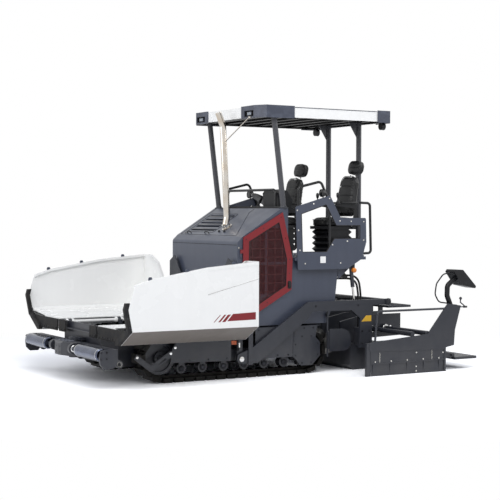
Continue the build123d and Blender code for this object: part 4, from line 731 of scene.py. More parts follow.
class PAVER_OT_rollers(bpy.types.Operator):
    """Rings on the push rollers, and the casting's lid, eyes, bolts and tow rings."""

    bl_idname = "paver.rollers"
    bl_label = "Push rollers"

    def execute(self, context):
        axle = (ROLLER_X, 0, ROLLER_Z)
        for side, letter in SIDES:
            rings = [revolved([(0.066, -0.004), (0.0752, -0.004), (0.0752, 0.004), (0.066, 0.004), (0.066, -0.004)],
                              np.add(axle, (0, side * y, 0)), (0, 1, 0), 48) for y in (0.512, 1.118)]
            add_piece(f"roller_rings_{letter}", joined(*rings), "chrome_rod", f"roller_{letter}", smooth=30)
        lid = slab(rounded_outline(0.12, 0.36, 0.03), (2.590, 0, 0.4835), (0, 0, 1), (1, 0, 0), 0.009, 0.003)
        add_piece("casting_lid", lid, "grey_enamel", "push_bar")
        lid_bolts = [(2.590 + x, y, 0.492) for x in (-0.045, 0.045) for y in (-0.16, -0.055, 0.055, 0.16)]
        face_bolts = [(2.6975, y, z) for y in (-0.055, 0.055) for z in (0.35, 0.42)]
        bracket_bolts = [(ROLLER_X + x, side * 1.210, ROLLER_Z + z) for side in (-1, 1)
                         for x, z in ((-0.04, 0.035), (0.03, 0.035), (-0.04, -0.04), (0.03, -0.04))]
        half = len(bracket_bolts) // 2  # the right side comes first
        add_piece("casting_bolts", joined(dome(lid_bolts, (0, 0, 1), 0.011, 0.007),
                                          hex_bolts(face_bolts, (1, 0, 0), 0.016, 0.002),
                                          hex_bolts(bracket_bolts[:half], (0, -1, 0), 0.019, 0.008),
                                          hex_bolts(bracket_bolts[half:], (0, 1, 0), 0.019, 0.008)),
                  "dark_bolt", "push_bar")
        eye = [(0.018, 0), (0.044, 0), (0.044, 0.006), (0.036, 0.010), (0.018, 0.010), (0.018, 0)]
        ring = [(0.0242, -0.034), (0.030, 0.0), (0.034, 0.004), (0.030, 0.006), (0.0242, 0.004), (0.0242, -0.034)]
        add_piece("casting_eyes", both(lambda side: revolved(eye, (ROLLER_X, side * 0.3295, ROLLER_Z), (0, side, 0),
                                                             32)), "chrome_rod", "push_bar")
        add_piece("tow_rings", both(lambda side: revolved(ring, (TOW_EYE_X, side * 1.209, TOW_EYE_Z), (0, side, 0),
                                                          32)), "worn_steel", "push_bar")
        return {"FINISHED"}


class PAVER_OT_tracks(bpy.types.Operator):
    """Caps of the rollers and idlers, cover bolts, and the bright parts of the levelling gear."""

    bl_idname = "paver.tracks"
    bl_label = "Running gear"

    def execute(self, context):
        cap = [(0, -0.002), (0.036, -0.002), (0.036, 0.006), (0.024, 0.012), (0.020, 0.009), (0, 0.009)]
        places = np.array([(SPROCKET_X + pin * LINK_PITCH, CAP_Y, TRACK_ROLLER_Z) for pin in TRACK_ROLLER_PINS]
                          + [(IDLER_X, CAP_Y, AXLE_Z)])
        add_piece("roller_caps", both(lambda side: copies_at(
            revolved([(r, side * h) for r, h in cap], (0, 0, 0), (0, 1, 0), 20), on_side(places, side))),
            "dark_bolt", smooth=30)
        around = np.linspace(0, 2 * np.pi, 8, endpoint=False) + np.pi / 8
        bolts = [(x, 0.592) for x in (-0.44, -0.30, -0.17, -0.06, 0.10, 0.38, 0.84, 1.00, 1.16, 1.32, 1.42)]
        bolts += [(x, 0.262) for x in (-0.06, 0.10, 0.38, 0.84, 1.10, 1.36)]
        bolts += list(zip(-0.34 + 0.185 * np.cos(around), 0.315 + 0.185 * np.sin(around)))
        bolts = np.array([(x, COVER_FACE, z) for x, z in bolts])
        large = np.array([(1.622, COVER_FACE + 0.004, 0.362), (1.560, COVER_FACE, 0.430),
                          (2.072, COVER_FACE + 0.004, 0.335)])
        pin = np.array([(0.655, 0.999, 0.245)])
        rod = np.array([(0.670, 0.962, 0.386), (0.670, 0.962, 0.452)])
        add_piece("cover_bolts", both(lambda side: hex_bolts(on_side(bolts, side), (0, side, 0), 0.016, 0.006)),
                  "dark_bolt")
        add_piece("levelling_bright", both(lambda side: joined(
            dome(on_side(large, side), (0, side, 0), 0.019, 0.010),
            dome(on_side(pin, side), (0, side, 0), 0.034, 0.012, 28),
            bars(on_side(rod[:1], side), on_side(rod[1:], side), 0.0125, 16))), "chrome_rod", smooth=30)
        tag = [(0.702, 0.425), (0.776, 0.429), (0.776, 0.478), (0.702, 0.474)]
        add_piece("levelling_tags", both(lambda side: side_plate(tag, COVER_FACE, side, 0.0012)), "orange_enamel")
        return {"FINISHED"}


def slope_point(x, y, lift=0.0):
    """A point on the hood's sloping top, raised along its normal."""
    up = np.array((math.sin(HOOD_SLOPE), 0, math.cos(HOOD_SLOPE)))
    return np.array((x, y, HOOD_TOP_Z - (x - HOOD_TOP_X) * math.tan(HOOD_SLOPE))) + lift * up


class PAVER_OT_hood(bpy.types.Operator):
    """Lid seams and the dark baffle behind the grille as painted shade, grips, lid catches and the exhaust's flange
    bolts.
    """

    bl_idname = "paver.hood"
    bl_label = "Hood"

    def execute(self, context):
        up = (math.sin(HOOD_SLOPE), 0, math.cos(HOOD_SLOPE))
        # painted shade: black bars along the lid seams, where the gaps lie in shade
        seam = [slope_point(x, y, HOOD_SHEET_LIFT)
                for x, y in ((0.572, -0.82), (0.572, 0.70), (0.11, 0.23), (0.03, 0.23))]
        seam_left = [slope_point(x, y, HOOD_SHEET_LIFT) for x, y in ((0.572, -0.82), (0.03, -0.82))]
        front = [(HOOD_FRONT + 0.0002, y, 1.665) for y in (-0.88, 0.88)]
        starts = seam[:-1] + seam_left[:1] + front[:1]
        ends = seam[1:] + seam_left[1:] + front[1:]
        add_piece("hood_seams", bars(starts, ends, 0.0022, 6), "painted_shade_black")
        # a near-black plate under the slots as painted shade of the space behind them, with a raised rim round them
        along = np.array((math.cos(HOOD_SLOPE), 0, -math.sin(HOOD_SLOPE)))
        add_piece("hood_baffle", slab(rounded_outline(0.42, 0.74, 0.02), slope_point(GRILLE_X, GRILLE_Y, -0.030), up,
                                      along, 0.004, 0.001), "painted_shade_black")
        rim = rounded_outline(0.45, 0.735, 0.03, 6)
        rim = np.concatenate([rim, rim[:1]])
        path = (slope_point(GRILLE_X, GRILLE_Y) + rim[:, :1] * along + rim[:, 1:] * (0, 1, 0)
                + 0.0005 * np.array(up))
        louvre = [(-0.337, -0.012), (0.337, -0.012), (0.337, 0.012), (-0.337, 0.012)]
        louvres = [slab(louvre, slope_point(x, GRILLE_Y), up, (0, 1, 0), 0.005, 0.003)
                   for x in np.linspace(0.15, 0.50, 5)[:-1] + 0.0437]
        add_piece("grille_rim", joined(swept(path, 0.004, 8), *louvres), "painted_shade_grey_enamel", smooth=50)
        grips = []
        for y in (-0.62, -0.12):
            foot, head = slope_point(0.545, y - 0.055, -0.002), slope_point(0.545, y + 0.055, -0.002)
            rise = 0.030 * np.array(up)
            arch = [foot, foot + rise, (foot + head) / 2 + rise * 1.15, head + rise, head]
            grips.append(swept(smooth_path(arch, 24), 0.006, 10))
        studs = [slope_point(0.50, EXHAUST_Y + step) for step in (-0.07, 0.07)]
        add_piece("hood_grips", joined(*grips, dome(studs, up, 0.016, 0.022)), "black_plastic", smooth=60)
        flange = [slope_point(EXHAUST_X, EXHAUST_Y, 0.012) + 0.061 * (c * along + s * np.array((0, 1, 0)))
                  for c, s in zip(*circle(6))]
        catches = both(lambda side: hex_bolts([(0.642, side * HOOD_SIDE, z) for z in (1.63, 1.05)], (0, side, 0),
                                              0.014, 0.005))
        add_piece("hood_bolts", joined(hex_bolts(flange, up, 0.013, 0.006), catches), "zinc_bolt")
        clamp = [(0.046, 0), (0.0535, 0), (0.0535, 0.004), (0.051, 0.006), (0.051, 0.014), (0.0535, 0.016),
                 (0.0535, 0.020), (0.046, 0.020), (0.046, 0)]
        rings = [revolved(clamp, slope_point(EXHAUST_X, EXHAUST_Y, lift), up, 40) for lift in (0.018, 0.040)]
        add_piece("exhaust_clamp", joined(*rings), "chrome_rod", smooth=30)
        mark = slab(rounded_outline(0.030, 0.045, 0.004, 4), slope_point(0.535, -0.74), up, (1, 0, 0), 0.001,
                    0.0003)
        add_piece("hood_mark", mark, "yellow_enamel")
        return {"FINISHED"}


def inset(outline, amount):
    """A convex outline with each edge moved inwards: neighbouring moved edges meet at the new corners."""
    outline = np.asarray(outline, float)
    edge = np.roll(outline, -1, axis=0) - outline
    edge /= np.linalg.norm(edge, axis=1, keepdims=True)
    inward = np.stack([-edge[:, 1], edge[:, 0]], axis=1)
    inward *= np.sign(((outline.mean(axis=0) - outline) * inward).sum(axis=1))[:, None]
    reach = (outline * inward).sum(axis=1) + amount
    before, before_reach = np.roll(inward, 1, axis=0), np.roll(reach, 1)
    across = before[:, 0] * inward[:, 1] - before[:, 1] * inward[:, 0]
    return np.stack([(before_reach * inward[:, 1] - reach * before[:, 1]) / across,
                     (before[:, 0] * reach - inward[:, 0] * before_reach) / across], axis=1)


class PAVER_OT_doors(bpy.types.Operator):
    """Diamond mesh in the windows of the side doors, with its rim, screws and latch."""

    bl_idname = "paver.doors"
    bl_label = "Side doors"

    def execute(self, context):
        outline = np.array([(0.600, 0.680), (0.585, 1.761), (0.005, 2.079), (-0.145, 1.486), (-0.130, 1.091)])
        window = inset(outline, DOOR_FRAME - 0.004)
        turned = np.stack([window[:, 0] + window[:, 1], window[:, 0] - window[:, 1]], axis=1)
        starts, ends = [], []
        for axis in (0, 1):
            low, high = turned[:, axis].min(), turned[:, axis].max()
            for offset in np.arange(low + 0.008, high, context.scene.paver_sizes.mesh_pitch):
                reach = span_inside(turned, offset, axis)
                if reach:
                    for value, points in zip(reach, (starts, ends)):
                        total, difference = (offset, value) if axis == 0 else (value, offset)
                        points.append(((total + difference) / 2, 0, (total - difference) / 2))
        starts, ends = np.array(starts), np.array(ends)
        screws = inset(outline, DOOR_FRAME / 2)
        screws = np.concatenate([screws, (screws + np.roll(screws, -1, axis=0)) / 2])
        rim = np.concatenate([inset(outline, DOOR_FRAME + 0.002)] * 2)[:6]
        for side, letter in SIDES:
            body = f"door_{letter}"
            level = np.array((0, side * (DOOR_INNER + 0.0045), 0))
            wires = bars(starts + level, ends + level, 0.0021, 4)
            add_piece(f"door_mesh_{letter}", wires, "mesh_enamel", body, smooth=20)
            edge = np.stack([rim[:, 0], np.full(6, side * (DOOR_FACE - 0.001)), rim[:, 1]], axis=1)
            add_piece(f"door_rim_{letter}", bars(edge[:-1], edge[1:], 0.004, 8), "rubber", body, smooth=60)
            places = np.stack([screws[:, 0], np.full(len(screws), side * DOOR_FACE), screws[:, 1]], axis=1)
            add_piece(f"door_screws_{letter}", dome(places, (0, side, 0), 0.007, 0.003, 10), "dark_bolt", body)
            plate = side_plate(rounded_outline(0.05, 0.10, 0.012) + (LATCH_X, LATCH_Z), DOOR_FACE, side, 0.003, 0.001)
            cap = side_plate(rounded_outline(0.043, 0.068, 0.005) + (LATCH_X, LATCH_Z + 0.0005), DOOR_FACE, side,
                             0.0165, 0.002)
            add_piece(f"door_latch_{letter}", joined(plate, cap), "black_plastic", body)
        return {"FINISHED"}


def lozenges(places, length, width, height):
    """Raised lozenges on a floor, turned a quarter from one to the next: a rhombus that narrows to its top."""
    places = np.asarray(places, float)
    turn = (np.arange(len(places)) % 2) * np.pi / 2 + np.pi / 4
    corners = np.array([(0.5, 0), (0, 0.5), (-0.5, 0), (0, -0.5)]) * (length, width)
    cosine, sine = np.cos(turn)[:, None], np.sin(turn)[:, None]
    flat = np.stack([corners[:, 0] * cosine - corners[:, 1] * sine, corners[:, 0] * sine + corners[:, 1] * cosine],
                    axis=-1)
    levels = np.array([(0, -0.0005), (1, -0.0005), (0.7, 1), (0, 1)]) * (1, height)
    points = np.zeros((len(places), 4, 4, 3))
    points[..., :2] = flat[:, None] * levels[None, :, :1, None] + places[:, None, None, :2]
    points[..., 2] = places[:, None, None, 2] + levels[None, :, None, 1]
    return grids(points)


def tread_places(x_span, y_span, level, pitch, holes=()):
    """A staggered grid of places over a floor, apart from the rectangles where something stands on it."""
    x, y = np.meshgrid(np.arange(x_span[0] + pitch / 2, x_span[1] - pitch / 3, pitch),
                       np.arange(y_span[0] + pitch / 2, y_span[1] - pitch / 3, pitch), indexing="ij")
    y = y + (np.arange(x.shape[0]) % 2)[:, None] * pitch / 4
    places = np.stack([x.ravel(), y.ravel(), np.full(x.size, level)], axis=-1)
    keep = places[:, 1] < y_span[1] - pitch / 3
    for (x_low, x_high), (y_low, y_high) in holes:
        keep &= ~((places[:, 0] > x_low) & (places[:, 0] < x_high) & (places[:, 1] > y_low) & (places[:, 1] < y_high))
    return places[keep]


class PAVER_OT_platform(bpy.types.Operator):
    """Chequer plate of the platform, and the guards' screws, blank plates, work lamp and turn lamp."""

    bl_idname = "paver.platform"
    bl_label = "Platform"

    def execute(self, context):
        pitch = context.scene.paver_sizes.tread_pitch
        seats = [((-1.065, -0.735), (side * SEAT_Y - 0.175, side * SEAT_Y + 0.175)) for side in (-1, 1)]
        posts = [((x - 0.05, x + 0.05), (side * y - 0.05, side * y + 0.05)) for side in (-1, 1)
                 for x, y in ((-0.215, 0.915), (-0.700, 0.915))]
        console = [((-0.20, -0.11), (-0.62, 0.62)), ((-0.19, -0.11), (-0.84, -0.74))]
        main = tread_places((DECK_REAR, -0.19), (-DECK_HALF + 0.02, DECK_HALF - 0.02), DECK_TOP, pitch,
                            seats + posts + console)
        tail = tread_places((-1.60, DECK_REAR), (-0.41, 0.41), DECK_TOP, pitch,
                            [((-1.60, -1.49), (side * 0.37 - 0.06, side * 0.37 + 0.06)) for side in (-1, 1)])
        add_piece("deck_tread", lozenges(np.concatenate([main, tail]), 0.030, 0.009, 0.0014), "grey_enamel", smooth=20)
        bolts = np.array([(x, GUARD_FACE, z) for x, z in (
            (-0.185, 2.105), (-0.435, 2.190), (-0.680, 2.260), (-0.846, 1.969), (-1.024, 1.964), (-1.225, 1.960),
            (-1.227, 1.716), (-0.966, 1.704), (-0.732, 1.660), (-0.229, 1.592), (-0.205, 1.848), (-0.310, 1.420),
            (-0.860, 1.420))])
        add_piece("guard_bolts", both(lambda side: dome(on_side(bolts, side), (0, side, 0), 0.010, 0.005)),
                  "zinc_bolt")
        plate = rounded_outline(0.085, 0.085, 0.006, 4) + (-0.584, 1.467)
        add_piece("guard_plates", both(lambda side: side_plate(plate, GUARD_FACE, side, 0.0012, 0.0004)),
                  "white_enamel")
        # a rubber edge round each guard's window
        window = [(-0.250, 2.060), (-0.630, 2.180), (-0.790, 1.910), (-1.170, 1.910), (-1.170, 1.740), (-0.760, 1.740),
                  (-0.640, 1.570), (-0.270, 1.570), (-0.250, 2.060)]
        edge = np.array([(x, GUARD_FACE - 0.004, z) for x, z in window])
        add_piece("guard_edges", both(lambda side: swept(on_side(edge, side), 0.0065, 8)), "rubber", smooth=60)
        shell = [(0, -0.055), (0.030, -0.052), (0.048, -0.030), (0.052, 0.008), (0.046, 0.008), (0.044, 0.0), (0, 0.0)]
        lens = [(0, -0.002), (0.044, -0.002), (0.042, 0.004), (0.024, 0.007), (0, 0.008)]
        turn = [(0, -0.004), (0.030, -0.004), (0.034, 0.010), (0.030, 0.030), (0.016, 0.040), (0, 0.042)]
        bracket = np.array([(-0.590, GUARD_LAMP[1], 2.255), (-0.590, GUARD_LAMP[1], 2.292)])
        add_piece("guard_lamps", both(lambda side: joined(
            revolved(shell, on_side(GUARD_LAMP, side), (1, 0, 0)),
            bars(on_side(bracket[:1], side), on_side(bracket[1:], side), 0.008, 8),
            box_slab((-1.090, side * 0.940 - 0.006, 1.345), (-1.050, side * 0.940 + 0.006, 1.415)))), "black_plastic")
        add_piece("guard_lenses", both(lambda side: revolved(lens, on_side(GUARD_LAMP, side), (1, 0, 0))),
                  "screen_glass")
        add_piece("turn_lamps", both(lambda side: revolved(turn, on_side(TURN_LAMP, side), (0, side, 0))),
                  "amber_lens")
        return {"FINISHED"}


class PAVER_OT_controls(bpy.types.Operator):
    """Screens, dials, switches, grips and the steering disc's rim."""

    bl_idname = "paver.controls"
    bl_label = "Controls"

    def execute(self, context):
        # pod in front of the left seat: a screen and a row of keys on its rear face
        pod_out = np.array((-0.832, 0, 0.555))
        across = np.array((0, 1, 0))
        pod = np.array((-0.330, 0.325, 2.300))
        down = np.cross(pod_out, across)
        frames = [slab(rounded_outline(0.21, 0.105, 0.012), pod - 0.001 * pod_out, pod_out, across, 0.008, 0.003)]
        screens = [slab(rounded_outline(0.16, 0.082, 0.006), pod + 0.0065 * pod_out, pod_out, across, 0.002, 0.0006)]
        keys = [pod + 0.004 * pod_out + y * across + step * down for y in (-0.150, -0.125, 0.125, 0.150)
                for step in (-0.030, -0.010, 0.010, 0.030)]
        key = revolved([(0, 0), (0.009, 0), (0.008, 0.005), (0, 0.006)], (0, 0, 0), pod_out, 12)
        # desk: rows of switches and two dials, on its sloping rear edge
        desk_out = np.array((-0.479, 0, 0.878))
        desk = np.array((-0.285, 0, 2.1305))
        switch = slab(rounded_outline(0.018, 0.026, 0.004, 3), (0, 0, 0), desk_out, (0, 1, 0), 0.007, 0.002)
        rows = [desk + y * across + step * np.cross(desk_out, across) for step in (-0.022, 0.022)
                for y in np.concatenate([np.arange(-0.66, -0.44, 0.04), np.arange(-0.14, 0.09, 0.04),
                                         np.arange(0.56, 0.69, 0.04)])]
        dial = revolved([(0, 0), (0.034, 0), (0.034, 0.006), (0.029, 0.006), (0.029, 0.003), (0, 0.003)], (0, 0, 0),
                        desk_out, 28)
        dials = copies_at(dial, [desk + y * across for y in (-0.225, -0.375)])
        wheel_out = np.array((-0.515, 0, 0.857))
        wheel = np.array((-0.392, -0.300, 2.255))
        rim = [(0.128, -0.006), (0.146, -0.012), (0.152, 0.0), (0.146, 0.012), (0.128, 0.012), (0.126, 0.0),
               (0.128, -0.006)]
        hub = [(0, 0.006), (0.05, 0.008), (0.046, 0.018), (0.03, 0.024), (0, 0.026)]
        add_piece("desk_parts", joined(*frames, copies_at(key, keys), copies_at(switch, rows), dials,
                                       revolved(rim, wheel, wheel_out, 48), revolved(hub, wheel, wheel_out, 28)),
                  "black_tube")
        faces = [copies_at(revolved([(0, 0.0031), (0.0285, 0.0031), (0.0285, 0.0045), (0, 0.0045)], (0, 0, 0), desk_out,
                                    24), [desk + y * across for y in (-0.225, -0.375)])]
        add_piece("desk_screens", joined(*screens, *faces), "screen_glass")
        # stalks on the armrests, each a bellows, a stem and a grip
        stalk = [(0, 0), (0.030, 0), (0.024, 0.010), (0.027, 0.016), (0.019, 0.026), (0.021, 0.032), (0.010, 0.042),
                 (0.008, 0.070), (0.016, 0.080), (0.021, 0.105), (0.020, 0.130), (0.012, 0.142), (0, 0.145)]
        arms = [side * SEAT_Y + reach for side in (-1, 1) for reach in (-0.240, 0.240)]
        pads = [box_slab((-1.135, y - 0.032, 2.194), (-0.865, y + 0.032, 2.222), 0.012) for y in arms]
        feet = [box_slab((-0.862, y - 0.030, 2.188), (-0.795, y + 0.030, 2.204), 0.006) for y in arms]
        stalks = copies_at(revolved(stalk, (0, 0, 0), (0, 0, 1), 20), [(-0.830, y, 2.196) for y in arms])
        add_piece("armrest_pads", joined(*pads), "seat_vinyl", smooth=50)
        add_piece("armrest_stalks", joined(stalks, *feet), "black_plastic", smooth=60)
        # consoles on the end plates: screen and keypad on the face that looks back
        out = np.array((-0.704, 0, 0.711))
        lower = np.cross(out, across)
        for side, letter in SIDES:
            face = np.array((-2.492, side * 1.4975, 1.217))
            frame_ring = slab(rounded_outline(0.172, 0.285, 0.020), face - 0.0015 * out, out, across, 0.006, 0.002)
            keypad = [face + 0.004 * out + y * across - drop * lower for y in (-0.05, -0.017, 0.017, 0.05)
                      for drop in (0.045, 0.075, 0.105)]
            add_piece(f"console_keys_{letter}", joined(frame_ring, copies_at(key, keypad)), "black_tube",
                      f"extending_{letter}")
            screen = slab(rounded_outline(0.125, 0.095, 0.006), face + 0.0042 * out + 0.070 * lower, out, across,
                          0.0016, 0.0005)
            add_piece(f"console_screen_{letter}", screen, "screen_glass", f"extending_{letter}")
        return {"FINISHED"}


class PAVER_OT_canopy(bpy.types.Operator):
    """Lamp lenses, the pressed beads of the roof, its edge trim and the bolts of the posts."""

    bl_idname = "paver.canopy"
    bl_label = "Canopy"

    def execute(self, context):
        lens = [(0, -0.001), (0.043, -0.001), (0.042, 0.004), (0.024, 0.008), (0, 0.009)]
        bezel = [(0.043, -0.004), (0.051, -0.004), (0.052, 0.004), (0.047, 0.008), (0.043, 0.003), (0.043, -0.004)]
        # painted shade: thin black plates on the roof's front face round the lamps, for the shade in their recesses
        add_piece("lamp_recesses", both(lambda side: box_slab(
            (ROOF_FRONT + 0.0003, side * 0.645 - 0.114, 3.2985), (ROOF_FRONT + 0.0013, side * 0.645 + 0.114, 3.3725),
            0.0003)), "painted_shade_black")
        add_piece("canopy_lenses", joined(
            both(lambda side: box_slab((ROOF_FRONT + 0.005, side * 0.645 - 0.045, 3.317),
                                       (ROOF_FRONT + 0.0095, side * 0.645 + 0.045, 3.353))),
            both(lambda side: revolved(lens, on_side(REAR_LAMP, side), (-1, 0, 0), 28))), "lamp_lens")
        add_piece("canopy_bezels", both(lambda side: revolved(bezel, on_side(REAR_LAMP, side), (-1, 0, 0),
                                                              28)), "black_plastic")
        bead = np.array([(-0.5, 0), (-0.38, 0.6), (-0.2, 1), (0.2, 1), (0.38, 0.6), (0.5, 0)]) * (0.06, 0.007)
        beads = [cross_bead(bead, y, ROOF_TOP - 0.0005, -1.52, 0.17) for y in np.linspace(-0.72, 0.72, 7)]
        add_piece("canopy_beads", joined(*beads), "white_moulding", smooth=50)
        lip = np.array([(x, ROOF_HALF + 0.001, ROOF_TOP - 0.004) for x in (-1.44, -0.155)])
        add_piece("canopy_lip", both(lambda side: swept(on_side(lip, side), 0.005, 8)), "blue_grey_moulding")
        collar = revolved([(0.030, 0), (0.062, 0), (0.062, 0.008), (0.044, 0.014), (0.040, 0.030), (0.030, 0.030),
                           (0.030, 0)], (0, 0, 0), (0, 0, 1), 28)
        feet = [(x, side * y, z) for side in (-1, 1) for x, y, z in ((-0.040, 0.850, 2.1303), (-1.546, 0.370, 1.5003))]
        bolts = [(x + 0.050 * c, y + 0.050 * s, z + 0.008) for x, y, z in feet for c, s in zip(*circle(4, np.pi / 4))]
        add_piece("post_collars", copies_at(collar, feet), "painted_shade_grey_enamel")
        add_piece("post_bolts", hex_bolts(bolts, (0, 0, 1), 0.013, 0.006), "dark_bolt")
        return {"FINISHED"}


def cross_bead(section, y, z, x_low, x_high):
    """A bead that runs fore and aft: its (y, z) section carried along x, closed below and at both ends."""
    rows = []
    for x, scale in ((x_low - 0.02, 0.0), (x_low, 1.0), (x_high, 1.0), (x_high + 0.02, 0.0)):
        flat = section * (scale if scale else 0.02, scale) + (y, z)
        rows.append(np.column_stack([np.full(len(flat), x), flat]))
    return grid(np.stack(rows), wrap_columns=True)


def chain_links(top, count, pitch=0.017, reach=0.006, wire=0.0016):
    """A hanging chain: oval rings, each turned a quarter from the last."""
    turn = np.linspace(0, 2 * np.pi, 13)
    links = []
    for number in range(count):
        across = np.array((1.0, 0, 0)) if number % 2 else np.array((0.35, 0.33, 0))
        centre = np.array(top) - (0, 0, number * pitch)
        path = centre + reach * np.cos(turn)[:, None] * across + (pitch * 0.72) * np.sin(turn)[:, None] * (0, 0, 1)
        links.append(swept(path, wire, 6))
    return joined(*links)


class PAVER_OT_screed(bpy.types.Operator):
    """Grating, end plate screws and chains, chrome rings, markers, treads of the footboards, and the hoses."""

    bl_idname = "paver.screed"
    bl_label = "Screed"

    def execute(self, context):
        low = np.array([(-2.05, y, 0.817) for y in np.linspace(-0.845, 0.845, 53)])
        slats = bars(low, low + (0.325, 0, 0), 0.0028, 4)
        low = np.array([(x, -0.855, 0.823) for x in (-1.99, -1.89, -1.79)])
        ties = bars(low, low * (1, -1, 1), 0.0035, 6)
        teeth = tread_places((-2.045, -1.73), (-0.85, 0.85), 0.8195, 0.0325)
        tooth = revolved([(0, -0.001), (0.0045, -0.001), (0.003, 0.004), (0, 0.005)], (0, 0, 0), (0, 0, 1), 4)
        add_piece("walkway_grating", joined(slats, ties, copies_at(tooth, teeth)), "painted_shade_grey_enamel", "screed", smooth=20)
        ring = [(0.0335, 0), (0.052, 0), (0.052, 0.010), (0.046, 0.018), (0.0335, 0.018), (0.0335, 0)]
        rings = [revolved(ring, (x, side * GUIDE_Y, GUIDE_Z), (0, side, 0), 36)
                 for side, x in ((1, -1.560), (1, -1.800), (-1, -1.680), (-1, -1.920))]
        add_piece("guide_rings", joined(*rings), "chrome_rod", "screed", smooth=30)
        boss = [(0, -0.001), (0.034, -0.001), (0.034, 0.006), (0.026, 0.010), (0, 0.010)]
        bolts = np.array([(x, ARM_FACE, z) for x, z in ((-1.18, 0.36), (-1.30, 0.36), (-1.18, 0.52), (-1.30, 0.52),
                                                        (-1.60, 0.90), (-0.45, 0.87), (-1.115, 0.865))])
        add_piece("arm_bolts", both(lambda side: joined(
            revolved(boss, (-1.595, side * 1.0075, 0.897), (0, side, 0), 28),
            hex_bolts(on_side(bolts, side), (0, side, 0), 0.020, 0.008))), "dark_bolt", "screed")
        marker = [(-1.165, 0.645), (-1.325, 0.645), (-1.325, 0.722), (-1.240, 0.722)]
        add_piece("arm_markers", both(lambda side: side_plate(marker, ARM_FACE, side, 0.0015, 0.0004)),
                  "yellow_enamel", "screed")
        screws = [(-0.878, 0.400), (-1.101, 0.395), (-1.920, 0.445), (-2.133, 0.512), (-1.855, 0.389), (-1.700, 0.420),
                  (-2.200, 0.640), (-2.240, 0.760), (-2.150, 0.800), (-2.100, 0.620)]
        inner_screws = [(-0.960, 0.180), (-1.210, 0.180), (-1.466, 0.180), (-1.726, 0.180), (-1.985, 0.180),
                        (-1.616, 0.270), (-2.050, 0.250)]
        for side, letter in SIDES:
            body = f"extending_{letter}"
            flush = np.array([(x, side * (END_FACE - 0.0036), z) for x, z in screws])
            sunk = np.array([(x, side * (END_FACE - 0.007), z) for x, z in inner_screws])
            low = np.array([(-1.616, side * (END_FACE - 0.012), z) for z in (0.03, 0.09)])
            add_piece(f"plate_screws_{letter}", joined(dome(flush, (0, side, 0), 0.011, 0.0034, 12),
                                                       dome(sunk, (0, side, 0), 0.010, 0.006, 12),
                                                       dome(low, (0, side, 0), 0.010, 0.006, 12)),
                      "zinc_bolt", body)
            chains = [chain_links((x, side * (END_FACE - 0.0038), 0.285), 7) for x in (-1.028, -1.865)]
            add_piece(f"plate_chains_{letter}", joined(*chains), "zinc_bolt", body, smooth=60)
            treads = tread_places((-2.695, -2.335), tuple(sorted((side * 0.765, side * 1.495))), 0.165, 0.030)
            add_piece(f"footboard_tread_{letter}", lozenges(treads, 0.022, 0.007, 0.0014), "painted_shade_grey_enamel",
                      f"step_{letter}", smooth=20)
            grip = bars([(-2.458, side * 1.578, 0.8358)], [(-2.405, side * 1.578, 0.8362)], 0.0135, 14)
            add_piece(f"crank_grip_{letter}", grip, "black_plastic", body, smooth=60)
        starts = [(side, step) for side in (-1, 1) for step in HOSE_STEPS]
        hoses = []
        for side, step in starts:
            route = [(-0.690, HOSE_TOP - step), (-0.980 + step, HOSE_TOP - step), (-1.270 + step, 1.240 - step),
                     (-1.320 + step, 1.000), (-1.320 + step, 0.660), (-1.320 + step, 0.3305)]
            hoses.append(swept(smooth_path([(x, side * HOSE_Y, z) for x, z in route], 48), 0.0138, 14))
        tubes = add_piece("screed_hoses", joined(*hoses), "rubber", None, smooth=60)
        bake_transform(tubes)
        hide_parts("hydraulic_hoses")
        crimp = [(0.0139, 0), (0.019, 0.002), (0.019, 0.040), (0.0165, 0.044), (0.0139, 0.048), (0.0139, 0)]
        sleeves = [revolved(crimp, (-0.699, side * HOSE_Y, HOSE_TOP - step), (-1, 0, 0), 16) for side, step in starts]
        add_piece("hose_sleeves", joined(*sleeves), "zinc_bolt")
        return {"FINISHED"}


def settled(piece):
    """A new mesh of the piece with its modifiers worked in."""
    view = bpy.context.evaluated_depsgraph_get()
    return bpy.data.meshes.new_from_object(piece.evaluated_get(view))


def points_of(mesh):
    """The mesh's points as one array."""
    flat = np.empty(len(mesh.vertices) * 3)
    mesh.vertices.foreach_get("co", flat)
    return flat.reshape(-1, 3)


def inflate(pads, cap):
    """Fills pads: remeshes them, lets cloth under pressure swell, and caps each point's travel."""
    scene = bpy.context.scene
    for piece in pads:
        remesh = piece.modifiers.new("remesh", "REMESH")
        remesh.mode = "VOXEL"
        remesh.voxel_size = CLOTH_VOXEL
        piece.data = settled(piece)
        piece.modifiers.clear()
        cloth = piece.modifiers.new("cloth", "CLOTH")
        cloth.settings.use_pressure = True
        cloth.settings.uniform_pressure_force = CLOTH_PRESSURE
        cloth.settings.effector_weights.gravity = 0.0
        cloth.settings.quality = 4
        cloth.settings.mass = CLOTH_MASS
        cloth.point_cache.frame_end = CLOTH_FRAMES
    for frame_number in range(1, CLOTH_FRAMES + 1):
        scene.frame_set(frame_number)
    for piece in pads:
        rest = points_of(piece.data)
        swollen = settled(piece)
        travel = points_of(swollen) - rest
        length = np.linalg.norm(travel, axis=1, keepdims=True)
        travel *= np.minimum(1, cap / np.maximum(length, 1e-9))
        piece.modifiers.clear()
        piece.data = swollen
        piece.data.vertices.foreach_set("co", (rest + travel).ravel())
        piece.data.update()
    scene.frame_set(1)


